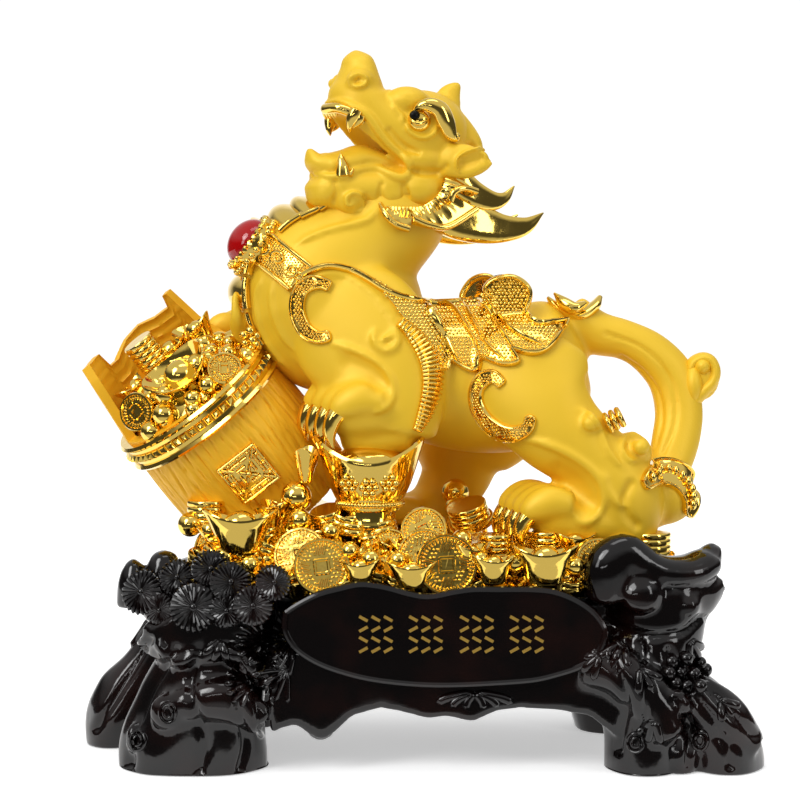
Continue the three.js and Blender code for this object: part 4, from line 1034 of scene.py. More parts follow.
# Two leaves at the root of the tail.
BIG_LEAF = [
    (65, 4.5, 222, 1, 3), (68.5, 2.5, 218, 2.6, 5), (74, 2.5, 214.5, 3.4, 7), (81.5, 2.5, 214, 3.4, 7),
    (87.5, 4.5, 218, 3, 6), (90.5, 6.5, 222.5, 1.4, 3),
]
SMALL_LEAF = [
    (68.5, 0.5, 223.5, 1, 3), (72, -3.5, 220, 3, 4), (77, -5.5, 217.5, 3, 4), (82, -3.5, 219.5, 1.4, 3),
]


# A C-shaped scroll: two polished rims and a pebbled groove between them.
def scroll(tree, line, width, far=False, slim=0.72):
    path = curve(line, count=60)
    along = unit(np.gradient(path, axis=0))
    across = np.stack([-along[:, 1], along[:, 0]], 1)
    t = np.linspace(0, 1, len(path))
    half = (width / 2) * (slim + (1 - slim) * np.minimum(1, np.sin(np.pi * t) * 1.6))[:, None]

    def outline(share, skip):
        left, right = path + across * half * share, path - across * half * share
        return [tuple(p) for p in left[::skip]] + [tuple(p) for p in right[::-skip]]

    loop = outline(share=1.0, skip=3)
    made = [plate(tree, loop, lift=1.2, far=far, step=2.0)]
    made.append(ridge(tree, loop + loop[:1], width=1.7, height=2.5, count=130, ends=1.0, far=far))
    return made + pebbles(tree, outline(share=0.62, skip=4), pitch=1.5, height=0.8, lift=1.2, far=far)


# A fan of short pleats along the edge of the wing.
def pleats(tree, far):
    spine = curve(PLEAT_SPINE, count=27)
    along = unit(np.gradient(spine, axis=0))
    made = []
    for i, (p, a) in enumerate(zip(spine, along)):
        t = i / (len(spine) - 1)
        reach = 1.2 + 3.6 * math.sin(math.pi * (0.12 + 0.8 * t))
        across = np.array([-a[1], a[0]])
        line = [tuple(p - across * reach), tuple(p), tuple(p + across * reach)]
        made.append(ridge(tree, line, width=2.7, height=2.6, count=8, ends=0.7, far=far, lift=0.6,
                          sides=6))
    return made


def skin_ornament(tree):
    made = []
    for far in (False, True):
        made.append(ridge(tree, WING_EDGE, width=3.4, height=3.2, count=90, ends=0.6, far=far, lift=0.5))
        made.append(ridge(tree, WING_BORDER, width=2.6, height=3.2, count=170, ends=0.6, far=far,
                          lift=1.0))
        for rib in WING_RIBS:
            made.append(ridge(tree, rib, width=2.6, height=3.2, count=40, ends=0.45, far=far, lift=1.0))
        made += scroll(tree, RUMP_SCROLL, width=6.6, far=far, slim=0.6)
        made += pleats(tree, far)
    made += scroll(tree, SHOULDER_SCROLL, width=6.2)
    made.append(far_lobe_rim())
    made += tail_crescent(tree) + strap(tree) + chest_plates()
    made += [limb(BIG_LEAF, sides=16, rings=40), limb(SMALL_LEAF, sides=14, rings=30)]
    return made + rump_tab()


# A little ribbed tab behind the thigh.
def rump_tab():
    rod = limb(TAB_ROD, sides=14, rings=14)
    return [moved(rod, (2.8 * i, 0, 1.3 * i)) for i in range(3)]


# Standing lobes of the wings, clear of the back.
def saddle_lobes():
    near = prism(SADDLE_LOBE, y0=-15.5, y1=-10.5)
    return [near, mirrored(near, body_flip), prism(FAR_LOBE, y0=28, y1=31)]


def far_lobe_rim():
    return limb([(*at_depth(u, v, y=27.5), 1.7, 1.7) for u, v in FAR_LOBE[1:-1]], sides=10, rings=40)


# The crescent at the end of the tail, with a row of beads.
def tail_crescent(tree):
    loop = CRESCENT_OUTER + CRESCENT_INNER
    made = [plate(tree, loop, lift=2.0, step=2.0),
            ridge(tree, loop + loop[:1], width=2.0, height=3.2, count=110, ends=1.0)]
    for u, v in curve(CRESCENT_BEADS, count=9):
        p, n = on_skin(tree, u, v)
        made.append(ball(p + n * 2.2, (1.7, 1.9, 2.6), sides=12))
    return made


# The strap across the chest, with a raised border, a pebbled ground and cloud curls.
def strap(tree):
    made = [plate(tree, STRAP, lift=1.8)]
    for a, b in ((0, 3), (1, 2)):
        made.append(ridge(tree, [STRAP[a], STRAP[b]], width=3.0, height=3.2, count=30, ends=0.9,
                          lift=0.8))
    made += pebbles(tree, STRAP, pitch=1.4, height=0.75, lift=1.8)
    for u, v, size, turn in STRAP_CURLS:
        line = []
        for i in range(10):
            a = math.radians(200 + i * 48 * turn)
            r = size * (1 - i * 0.085)
            line.append((u + math.cos(a) * r, v + math.sin(a) * r))
        made.append(ridge(tree, line, width=2.0, height=2.2, count=40, ends=0.5, lift=1.4))
    return made


# Overlapping plates round the throat and the chest: the stations of the trunk that each lies between,
# how far it reaches round in degrees, and its height.
CHEST_PLATES = [
    (8.86, 9.04, 34, 0.2), (9.06, 9.2, 36, 1.2), (9.22, 9.5, 38, 3.0), (9.52, 9.69, 38, 3.2),
    (10.0, 10.6, 42, 0.6), (10.52, 11.2, 44, 1.0), (11.12, 11.8, 46, 1.0),
]
# A bunch of beads under the plates: shift to the rump, shift up and radius.
CHEST_BEADS_AT = np.array([-81, -16.5, 206.5])
CHEST_BEADS = [
    (0, 0, 2.6), (3.4, -2.4, 2.1), (-3.2, -2, 2.3), (1, -4.6, 2.4), (-2.6, -6, 1.9), (3.2, -6.6, 1.8),
    (0.4, -8.6, 2.0),
]
TRUNK_STEPS = 20  # between two stations


def chest_plates():
    made = []
    s = curve(TRUNK, (len(TRUNK) - 1) * TRUNK_STEPS)
    along = unit(np.gradient(s[:, :3], axis=0))
    across = unit(np.array([0.0, 1.0, 0.0]) - along * along[:, 1:2])
    values = np.hstack([s, np.cross(along, across), across])

    def at(k, a, lift):
        i, f = int(k), k - int(k)
        v = values[i] * (1 - f) + values[i + 1] * f
        return v[:3] + v[5:8] * math.cos(a) * (v[3] + lift) + v[8:11] * math.sin(a) * (v[4] + lift)

    for first, last, reach, base in CHEST_PLATES:
        rows = np.linspace(first * TRUNK_STEPS, last * TRUNK_STEPS, 16)
        turn = np.radians(np.linspace(-reach, reach, 40))
        rings = []
        for j, k in enumerate(rows):
            lift = base - 2.6 + 4.8 * math.sin(math.pi * (0.04 + 0.92 * j / (len(rows) - 1))) ** 0.7
            rings.append([at(k, a, lift) for a in turn] + [at(k, a, lift=-3.0) for a in turn[::-1]])
        made.append(skin_over(rings))
        for side in (-1, 1):
            edge = [at(k, math.radians(reach) * side, base + 1.0) for k in rows]
            made.append(limb([(*p, 1.5, 1.5) for p in edge], sides=10, rings=16))
    for u, w, size in CHEST_BEADS:
        made.append(ball(CHEST_BEADS_AT + (u, 0, w), size, sides=14))
    return made


# The red stone on the chest and its rimmed seat with two rings of beads.
JEWEL_AT = np.array([-81, -9.5, 248.5])
JEWEL_TURN = Matrix.Rotation(math.radians(10), 3, "Z") @ Matrix.Rotation(math.radians(-54), 3, "Y")
STONE_RADIUS = 12.4
STONE_HEIGHT = 10
SEAT = [(0.3, -6), (13.4, -6), (15.6, -1.4), (15.6, 1.2), (12.9, 1.3), (12.8, -0.4), (0.3, -0.4)]
SEAT_BEADS = 26


def jewel_placed(shape):
    return moved(shape, JEWEL_AT, JEWEL_TURN)


def jewel_stone():
    profile = [(0.2, 0), (STONE_RADIUS, 0)]
    for a in np.linspace(0, math.pi / 2 - 0.03, 16):
        profile.append((STONE_RADIUS * math.cos(a), 1 + STONE_HEIGHT * math.sin(a)))
    return jewel_placed(turned(profile, sides=48))


def jewel_setting():
    made = [turned(SEAT, sides=48)]
    bead = limb([(-2.1, 0, 0, 0.7, 0.7), (0, 0, 0, 1.6, 1.6), (2.1, 0, 0, 0.7, 0.7)], sides=8, rings=6)
    for a in around(SEAT_BEADS):
        turn = Vector((-math.sin(a), math.cos(a), 0.9)).to_track_quat("X", "Z").to_matrix()
        made.append(moved(bead, (14.5 * math.cos(a), 14.5 * math.sin(a), 1.6), turn))
        made.append(ball((15.2 * math.cos(a), 15.2 * math.sin(a), -2.4), radii=1.6, sides=10))
    return [jewel_placed(s) for s in made]


# The tilted treasure barrel, along its own +Z, with -Y to the seen side.
BARREL_AT = np.array([-107.5, -1.5, 171.5])
BARREL_TURN = Matrix.Rotation(math.radians(-37.6), 3, "Y") @ Matrix.Rotation(math.radians(14), 3, "X")
BARREL_RADIUS = 41.0
STAVE_DEPTH = 68  # from the band to the foot
STAVE_SIDES = 360
# How far the staves stand above the band, from one angle in degrees to the next: two ears and a back wall.
RIM = [
    (0, 6), (30, 7), (36, 10), (43, 17), (49, 28), (51, 48), (57, 48), (62, 41), (80, 40.5), (95, 42.5),
    (112, 41), (130, 36.5), (142, 37), (147, 46), (165, 46.5), (186, 48.5), (191, 40), (196, 8), (330, 6),
    (360, 6),
]
# Three waves of grain: how many round the barrel, their shift and their depth.
GRAIN = ((19, 0.3, 1.0), (34, 1.7, 0.75), (53, 4.1, 0.55))


def in_barrel(shape):
    return moved(shape, BARREL_AT, BARREL_TURN)


def rim_height(a):
    return float(np.interp(math.degrees(a), [p[0] for p in RIM], [p[1] for p in RIM]))


# Fine grain: narrow valleys that wander along the stave.
def grain(turn, level):
    made = np.zeros_like(turn)
    for k, shift, deep in GRAIN:
        wander = 0.05 * math.sin(level * 0.07 + shift) * np.sin(turn * 4 + shift)
        wander = wander + 0.03 * np.sin(turn * 9 + level * 0.05)
        made -= deep * (1 - np.abs(np.sin((turn + wander) * k + shift))) ** 5
    return made


# Up the outside of the staves, up their ears, and down the ringed inside of the ears.
def staves():
    rings = []
    turn = np.linspace(0, 2 * math.pi, STAVE_SIDES, endpoint=False)

    def add_ring(r, z):
        rings.append(np.stack([r * np.cos(turn), r * np.sin(turn), np.broadcast_to(z, STAVE_SIDES)], 1))

    for t in np.linspace(0, 1, 34):
        z = -STAVE_DEPTH + STAVE_DEPTH * t
        r = BARREL_RADIUS * (0.93 + 0.10 * math.sin(math.pi * min(1, 0.15 + t * 0.62))) + grain(turn, z)
        add_ring(r, z)
    rise = np.array([rim_height(a) for a in turn])
    for t in np.linspace(0.05, 1, 10):
        z = rise * t
        add_ring(BARREL_RADIUS * 0.995 - z * 0.13 + 0.5 * grain(turn, level=0), z)
    for t in np.linspace(1, 0.05, 32):
        z = rise * t
        hoops = -(1 - np.abs(np.sin((rise - z) * 0.62))) ** 3
        add_ring(BARREL_RADIUS * 0.995 - 3.8 - z * 0.13 + hoops * 0.9, z)
    return skin_over(rings)


# The band round the mouth: two round rims, a flat strip and a row of pointed studs.
STUDS = 58
STUD_RADIUS = 42.2


def barrel_band():
    made = []
    for z in (-5.6, 5.6):
        made.append(turned([(39, z - 1.4), (43.4, z - 1.4), (44.6, z), (43.4, z + 1.4), (39, z + 1.4)],
                           sides=120))
    made.append(turned([(38, -4.6), (42.6, -4.6), (42.6, 4.6), (38, 4.6)], sides=120))
    stud = limb([(0, 0, 0, 3.1, 3.1), (0.8, 0, 0, 3.0, 3.0), (3.0, 0, 0, 0.4, 0.4)], sides=4, rings=4)
    stud = turned_by(stud, math.radians(45), "X")
    for a in around(STUDS):
        at = (STUD_RADIUS * math.cos(a), STUD_RADIUS * math.sin(a), 0)
        made.append(moved(stud, at, Matrix.Rotation(a, 3, "Z")))
    return made


# A straight bar of the badge, as deep as it is thick and a third more.
def bar(x0, z0, x1, z1, thick):
    ends = [(x0, z0), ((x0 + x1) / 2, (z0 + z1) / 2), (x1, z1)]
    return limb([(x, 0, z, thick, thick * 1.3) for x, z in ends], sides=10, rings=6)


# A square badge on the staves: a fretwork of nested round-edged squares, corner rays and studs.
def badge():
    bars = [moved(box(22, 1.6, 22), (0, 1.4, 0))]
    for half, thick, gap, start in ((10.4, 1.1, 0, 0), (7.2, 0.9, 1.6, 90), (4.0, 0.9, 1.6, 90)):
        side = bar(-half, half, half - gap * 2, half, thick)
        bars += [turned_by(side, math.radians(90 * k + start), "Y") for k in range(4)]
    for k in range(4):
        for x0, x1, thick in ((7.4, 13.2, 0.9), (1.6, 4.2, 0.8)):
            ray = turned_by(bar(x0, 0, x1, 0, thick), math.radians(45 + 90 * k), "Y")
            bars.append(moved(ray, (0, -0.4, 0)))
        for reach in (-5.6, 0.0, 5.6):
            bars.append(turned_by(ball((8.8, -0.6, reach), radii=1.0, sides=10), math.radians(90 * k),
                                  "Y"))
    bars.append(ball((0, -0.8, 0), (1.6, 1.8, 1.6), sides=14))
    return [moved(b, (1, -BARREL_RADIUS - 1.9, -33)) for b in bars]


# Dots in staggered rows over the field of a coin, clear of its rim, its window and its marks.
COIN_PITCH = 1.85
COIN_FIELD = 1.1  # height of the field


def coin_dots(r, half):
    made = []
    rows = int(r / COIN_PITCH)
    dot = (DOME[0] * (0.75, 0.6, 0.8), DOME[1])
    for j in range(-rows, rows + 1):
        for i in range(-rows, rows + 1):
            x, y = (i + 0.5 * (j % 2)) * COIN_PITCH, j * COIN_PITCH
            edge = max(abs(x), abs(y)) < half + 1.6 or math.hypot(x, y) > r - 4.6
            group = min(abs(x), abs(y)) < r * 0.24 and max(abs(x), abs(y)) < r * 0.76
            if not edge and not group:
                made.append(moved(dot, (x, y, COIN_FIELD)))
    return made


def coin_stroke(x0, y0, x1, y1, thick):
    ends = [(x0, y0), ((x0 + x1) / 2, (y0 + y1) / 2), (x1, y1)]
    return limb([(x, y, COIN_FIELD, thick, thick) for x, y in ends], sides=6, rings=3, side=(0, 0, 1))


# A cash coin: a raised rim with ticks, a square window with a border, and rows of dots over its field.
# The four raised groups of slanted strokes stand where a coin has its marks. They spell nothing.
def coin(at, r, way, spin):
    made = [turned([(0.2, -1.7), (r - 0.5, -1.7), (r, -1.3), (r, 1.4), (r - 0.5, 2.0), (r - 1.3, 2.0),
                    (r - 1.8, 1.0), (0.2, 1.0)], sides=56)]
    half = r * 0.2
    marks = [coin_stroke(-half - 0.6, half + 0.5, half + 0.6, half + 0.5, 0.8)]
    for i in range(3):
        x = (i - 1) * r * 0.15
        marks.append(coin_stroke(x - r * 0.05, r * 0.42, x + r * 0.05, r * 0.7, 0.65))
    for k in range(4):
        made += [turned_by(mark, k * math.pi / 2, "Z") for mark in marks]
    tick = moved((DOME[0] * (1.1, 0.55, 0.8), DOME[1]), (r - 2.9, 0, COIN_FIELD))
    made += [turned_by(tick, a, "Z") for a in around(int(r * 3))]
    turn = facing(way, spin)
    return [moved(s, at, turn) for s in made + coin_dots(r, half)]


# A boat-shaped ingot: upturned ends, a rolled rim, a dome in the middle.
# Its profile is share of the size, level, and lift of the ends.
INGOT_PROFILE = [
    (0.46, -0.5, 0), (0.52, -0.42, 0), (0.62, -0.1, 0.05), (0.8, 0.25, 0.18), (0.97, 0.46, 0.34),
    (1.0, 0.52, 0.36), (0.95, 0.55, 0.36), (0.88, 0.48, 0.33), (0.7, 0.3, 0.12), (0.4, 0.2, 0),
]


def ingot(at, length, width, height, spin, nod=0.0, sides=36):
    turn = np.linspace(0, 2 * math.pi, sides, endpoint=False)
    x, y = np.cos(turn), np.sin(turn)
    rings = []
    for share, level, lift in INGOT_PROFILE:
        rings.append(np.stack([x * length / 2 * share, y * width / 2 * min(1, share * 1.08),
                               height * (level + lift * x**2)], 1))
    middle = ball((0, 0, height * 0.3), (length * 0.23, width * 0.32, height * 0.52), sides * 3 // 5)
    way = Matrix.Rotation(math.radians(spin), 3, "Z") @ Matrix.Rotation(math.radians(nod), 3, "X")
    return [moved(s, at, way) for s in (skin_over(rings), middle)]


# A pile of plain coins.
COIN_STEP = 3.0  # from one coin of a pile to the next


def stack(at, radius, count, lean=(0, 0, 1), sides=32):
    made = []
    for i in range(count):
        z = i * COIN_STEP
        made.append(turned([(0.3, z), (radius - 0.4, z), (radius, z + 0.5), (radius, z + 2.3),
                            (radius - 0.4, z + 2.8), (0.3, z + 2.8)], sides))
    return [moved(s, at, facing(lean)) for s in made]


# The dome of small treasure in the barrel: place, length, width, height and turn of its ingots.
BARREL_INGOTS = [
    ((-20, 4, 20), 24, 15, 10, 40), ((20, 8, 24), 24, 15, 10, -30), ((4, 13, 22), 26, 16, 11, 10),
]
BARREL_BALLS = 90


def barrel_treasure():
    made = [ball((0, 0, -2), (37, 37, 24), sides=40)]
    made += ingot((3, -21, 17), length=36, width=24, height=15, spin=8, nod=26)
    for at, length, width, height, spin in BARREL_INGOTS:
        made += ingot(at, length, width, height, spin)
    made += coin((-24, -20, 19), r=9.5, way=(-0.35, -0.85, 0.55), spin=0.3)
    made += coin((22, -27, 11), r=8.5, way=(0.3, -0.85, 0.5), spin=0.8)
    made += stack((-6, 10, 26), radius=8, count=5)
    spots = np.random.default_rng(5)
    for _ in range(BARREL_BALLS):
        a = spots.uniform(0, 2 * math.pi)
        r = 36.5 * math.sqrt(spots.uniform(0.05, 1))
        size = spots.uniform(3.2, 6.2)
        level = -2 + 24 * math.sqrt(max(0.02, 1 - (r / 37.5) ** 2))
        made.append(ball((r * math.cos(a), r * math.sin(a), level + size * 0.35), size, sides=12))
    return made


# The pedestal ingot under the near forepaw: a boat-shaped cup on a drum, with rope bands and rosettes.
# Its levels are half length, half width, height, and lift of the ends.
BIG_INGOT_AT = np.array([-23, -31.5, 140])
BIG_INGOT_LEVELS = [
    (10, 9.5, -37, 0), (10.2, 9.7, -28, 0), (12.5, 11.5, -27, 0), (12.6, 11.6, -25.6, 0),
    (12.2, 11.3, -25, 0), (12.6, 11.6, -19.5, 0), (14.5, 13, -18.8, 0), (15.4, 13.6, -17, 0),
    (15.4, 13.6, -15, 0), (17, 14.6, -13, 0.4), (20, 16.8, -8, 2), (22.8, 18.8, -3, 5.5),
    (24.8, 20.2, 0.5, 9), (26.4, 21.2, 2.5, 11.4), (27, 21.6, 4, 12), (26.2, 21, 5.4, 12),
    (24.6, 19.6, 4.2, 11), (22, 17.4, 0.5, 8), (16, 13, -1.5, 3), (10, 8, -2, 0),
]
ROPE_BEADS = 60
ROSETTES = ((-9.5, -5), (0, -7), (9.5, -5))
FLUTES = 10


def big_ingot():
    turn = np.linspace(0, 2 * math.pi, 72, endpoint=False)
    x, y = np.cos(turn), np.sin(turn)
    rings = [np.stack([x * a, y * b, z + lift * x**2], 1) for a, b, z, lift in BIG_INGOT_LEVELS]
    made = [skin_over(rings), ball((0, 0, 2), (19, 15, 11), sides=32)]
    for a in around(ROPE_BEADS):
        x, y = math.cos(a), math.sin(a)
        made.append(ball((x * 15.8, y * 14, -16), (1.1, 1.1, 1.5), sides=8))
        made.append(ball((x * 21.4, y * 17.4, 3.4 + 6.4 * x**2), (1.0, 1.0, 0.9), sides=8))
    for x, z in ROSETTES:
        front = -18.6 + abs(x) * 0.14 + (z + 5) * 0.3
        for k in range(7):
            a = 2 * math.pi * k / 6
            reach = 3.2 if k < 6 else 0.0
            made.append(ball((x + reach * math.cos(a), front + 0.4, z + reach * math.sin(a)), radii=1.7,
                             sides=12))
    for k in range(FLUTES):
        a = math.pi + math.pi * (k + 0.5) / FLUTES
        made.append(ball((11 * math.cos(a), 10.4 * math.sin(a), -31.5), (1.5, 1.5, 3.2), sides=10))
    return [moved(s, BIG_INGOT_AT) for s in made]


# The heap: an even bed under the treasure, between two depths.
HEAP_OUTLINE = [
    (-102, 80), (-104, 104), (-88, 114), (-58, 120), (-36, 112), (-8, 106), (12, 103), (44, 99),
    (100, 99), (120, 98), (122, 80),
]
HEAP_FRONT, HEAP_BACK = -34.0, 60.0


def heap_bed():
    points = [(x, y, z) for y in (HEAP_FRONT, HEAP_BACK) for x, z in HEAP_OUTLINE]
    return [(np.array(points, dtype=float), prism_faces(len(HEAP_OUTLINE)))]


# Small treasure strewn over the slopes, front and back, up to a crest.
CREST_X = [-106, -88, -58, -36, -8, 12, 44, 100, 122]
CREST_Z = [100, 116, 124, 116, 108, 104, 100, 99, 94]
STREWN = 300


def strewn():
    lot = np.random.default_rng(21)
    made = []
    for i in range(STREWN):
        x = lot.uniform(-104, 120)
        t = lot.uniform(0, 1)
        back = i % 3 == 2
        y = 64 - 18 * t if back else -58 + 24 * t + max(0, (x - 88)) * 0.35
        z = 84 + (np.interp(x, CREST_X, CREST_Z) - 84) * t
        kind = lot.uniform()
        size = lot.uniform(3.2, 5.6)
        if kind < 0.5:
            made.append(ball((x, y, z), size, sides=12))
        elif kind < 0.78:
            lean = (lot.uniform(-0.5, 0.5), lot.uniform(-0.8, 0.1), 1)
            made += stack((x, y, z), size + 3, count=2, lean=lean, sides=20)
        else:
            spin, nod = lot.uniform(-60, 60), lot.uniform(-10, 20)
            made += ingot((x, y, z + 1), size * 3.6, size * 2.2, size * 1.7, spin, nod, sides=20)
    return made


# Coins: place, radius, the way they face and their spin.
COINS = [
    ((-55, -55.5, 102), 13, (-0.25, -1, 0.3), 0.2), ((-45, -61.5, 97), 13.4, (0.1, -1, 0.25), 0.1),
    ((3, -49.5, 113), 11, (-0.1, -1, 0.4), 0.5), ((3, -56.5, 101.5), 13, (-0.3, -1, 0.25), 0.3),
    ((13.5, -61.5, 98), 14.4, (0.05, -1, 0.18), 0.05), ((85.5, -51.5, 97.5), 12, (0.2, -1, 0.3), 0.2),
    ((-67, -47.5, 100.5), 11, (-0.4, -1, 0.3), 0.6), ((-13, -45.5, 104), 10, (0.2, -1, 0.8), 0.6),
    ((50.5, -5.5, 108), 12, (0.1, -0.4, 1), 0.6), ((26.5, 4.5, 112), 12, (-0.2, -0.4, 1), 0.2),
    ((-97, -35.5, 103), 11, (-0.5, -1, 0.4), 0.4), ((106.5, -35.5, 101), 11, (0.5, -1, 0.4), 0.4),
    ((-58, 64, 98), 12, (-0.2, 1, 0.5), 0.3), ((26, 65, 98), 12, (0.2, 1, 0.5), 0.1),
    ((70, 62, 97), 11, (0.1, 1, 0.6), 0.1), ((-90, 55, 96), 11, (-0.4, 1, 0.6), 0.1),
]
# Ingots: place, length, width, height and turn.
INGOTS = [
    ((-83.5, -53.5, 110.5), 37, 22, 15, 4), ((59.5, -59.5, 95.5), 33, 20, 14, -4),
    ((-3, -63.5, 92), 24, 12, 9, 0), ((35.5, -61.5, 94.5), 23, 14, 10, 8),
    ((-27, -63.5, 93.5), 20, 12, 9, -8), ((74.5, -45.5, 104), 22, 14, 9, 20),
    ((-16, 61, 106), 34, 20, 15, 6), ((25.5, -55.5, 99.5), 20, 13, 9, 30),
    ((-74, 60, 104), 26, 15, 11, 20), ((56, 58, 104), 26, 15, 11, -20),
]
# Balls: place and radius.
BALLS = [
    ((-58, -35.5, 127.5), 7.6), ((-53.5, -31.5, 143.5), 5.5), ((-109.5, -29.5, 113.5), 6),
    ((-69, -62.5, 89.5), 6), ((-6, -63.5, 92.5), 4), ((-22, -61.5, 100.5), 5), ((-32, -57.5, 104), 4.5),
    ((-9.5, -59.5, 100), 4.5), ((29, -57.5, 100), 4.5), ((45.5, -58.5, 99), 4.5),
    ((-41.5, -47.5, 112), 5), ((19.5, 24.5, 124), 7), ((20, 20.5, 116.5), 6), ((-79, -57.5, 97.5), 5),
    ((-91, -53.5, 101), 5), ((95.5, -49.5, 101), 5), ((73.5, -59.5, 97.5), 4.5), ((21, -45.5, 108), 5),
    ((-99, -37.5, 111.5), 5), ((-56, -45.5, 117.5), 5.5),
]
# Piles of coins: place, radius and how many.
STACKS = [
    ((37, -41.5, 98.5), 8.5, 4), ((62.5, -35.5, 102.5), 11, 3), ((112, -29.5, 98), 10, 4),
    ((-101.5, -23.5, 110), 10, 5), ((96.5, -33.5, 100.5), 10, 3),
]


def heap_treasure():
    made = big_ingot()
    for at, r, way, spin in COINS:
        made += coin(at, r, way, spin)
    for at, length, width, height, spin in INGOTS:
        made += ingot(at, length, width, height, spin)
    for at, r in BALLS:
        made.append(ball(at, r, sides=20))
    made += ingot((-53.5, -35.5, 140.5), length=18, width=12, height=12, spin=80)
    for at, radius, count in STACKS:
        made += stack(at, radius, count)
    return made + stack((26, -15.5, 114), radius=10, count=3, lean=(-0.3, -0.3, 1))


# The base: a deck with an arched apron, root feet, burls, pine tufts and a name panel.
APRON = [
    (-74.5, 46), (-73.5, 3.5), (-67.5, 7), (-60, 8.5), (-54.5, 4), (-47.5, 0.5), (-41.5, 4.5),
    (-32.5, 13), (-18, 17), (-7.5, 15), (6, 11.5), (14.5, 13), (28, 10), (40, 15.5), (51.5, 17),
    (69.5, 16), (86.5, 13), (101.5, 1), (101.5, 51),
]
PANEL = [
    (-65.5, 65), (-59.5, 69), (-49.5, 74), (-38.5, 77), (-29, 79), (-21, 78.5), (-13.5, 77), (-4.5, 74.5),
    (3.5, 73), (10.5, 73.5), (17.5, 75), (28, 76.5), (41.5, 76.5), (56.5, 76.5), (67.5, 75.5),
    (76.5, 72.5), (84.5, 68), (90.5, 62.5), (94, 56), (92.5, 48.5), (88.5, 42), (80.5, 37.5),
    (71.5, 34.5), (59, 31.5), (41.5, 30), (21.5, 29), (6.5, 29), (-8.5, 30), (-23.5, 32), (-36, 35),
    (-47.5, 39), (-56.5, 44), (-62.5, 49.5), (-66, 57),
]
# Root feet, burls and creases, as stations with sides and rings.
ROOT_LIMBS = [
    ([(-98.5, -35.5, 82.5, 38, 24), (-96.5, -39.5, 64, 29, 28), (-98, -41.5, 47.5, 27, 29),
      (-103, -41.5, 28, 31, 29), (-106, -42.5, 9, 35, 28), (-106, -42.5, -13, 36, 27)], 36, 40),
    ([(-113, 6.5, 76.5, 26, 20), (-119, 6.5, 56.5, 17, 18), (-132.5, 6.5, 37.5, 14, 16),
      (-145.5, 6.5, 22.5, 16, 15), (-152.5, 6.5, 11.5, 13, 15), (-151.5, 6.5, -9, 12, 13)], 30, 40),
    ([(114, -39.5, 83, 28, 22), (113, -41.5, 59.5, 22, 22), (104, -45.5, 36, 19, 22),
      (106, -47.5, 17, 17, 22), (107, -47.5, -11.5, 17, 21)], 30, 40),
    ([(117.5, -25.5, 81, 26, 22), (113, -33.5, 60, 15, 24), (120, -37.5, 41.5, 14, 24),
      (135.5, -39.5, 23.5, 17, 25), (145.5, -41.5, 8, 19, 26), (145, -41.5, -13, 19, 25)], 30, 40),
    ([(-98, 48.5, 84, 34, 24), (-98, 50.5, 40, 30, 24), (-106, 52.5, 0, 30, 23),
      (-106, 52.5, -8, 30, 23)], 28, 20),
    ([(100, 46.5, 84, 30, 26), (102, 48.5, 40, 28, 26), (112, 49.5, 0, 30, 26),
      (112, 49.5, -8, 30, 26)], 28, 20),
    ([(85.5, -59.5, 81, 8, 7), (89, -59.5, 94.5, 12, 9), (97.5, -57.5, 101.5, 11, 10),
      (112, -53.5, 94.5, 8, 12), (126, -47.5, 93, 8, 13), (136, -41.5, 96, 8, 12),
      (140, -39.5, 100.5, 6, 8), (140.5, -39.5, 104, 5, 6)], 20, 40),
    ([(105.5, -47.5, 79.5, 20, 14), (119, -43.5, 80, 19, 16), (132.5, -37.5, 81, 13, 15),
      (142, -31.5, 84, 7, 12)], 24, 30),
    ([(78, -63.5, 51, 9, 7), (94.5, -65.5, 48, 11, 8), (108, -67.5, 35.5, 11, 8),
      (116.5, -67.5, 19, 9, 8)], 20, 30),
    ([(127.5, -61.5, 39, 10, 8), (143, -59.5, 26.5, 12, 10), (156.5, -51.5, 12.5, 9, 12)], 20, 30),
    ([(-126, -57.5, 68.5, 5, 6), (-119.5, -63.5, 60, 3.6, 5), (-113, -65.5, 54, 3.6, 5),
      (-101.5, -67.5, 56.5, 3.8, 5), (-89.5, -68.5, 59, 3.8, 5), (-80, -68.5, 53, 3.8, 5),
      (-70, -65.5, 43.5, 4.5, 5)], 20, 40),
    ([(-96.5, -51.5, 61, 27, 17), (-99, -53.5, 67, 30, 18), (-105, -51.5, 77, 34, 18)], 24, 12),
    ([(-112, -67.5, 33, 8, 6), (-89.5, -71.5, 36, 10, 6), (-73, -67.5, 26, 8, 6)], 20, 30),
    ([(-133, -45.5, 78, 9, 10), (-135.5, -45.5, 90, 7, 8), (-134.5, -45.5, 97.5, 4, 6)], 18, 20),
    ([(-117.5, -45.5, 79, 13, 10), (-120.5, -45.5, 92.5, 9, 8), (-120.5, -45.5, 101.5, 5, 6)], 18, 20),
]
ROOT_BURLS = [
    ((104.5, -61.5, 84), (10, 8, 9)), ((127, -55.5, 77.5), (6, 7, 6)), ((120.5, -67.5, 33.5),
    (8, 7, 7.5)), ((123.5, -57.5, 7.5), (9, 9, 14)), ((-131.5, -57.5, 14.5), (7, 6, 10)),
    ((-116.5, -67.5, 30), (9, 6, 9)), ((-46, -51.5, 21), (9, 6, 8)),
]
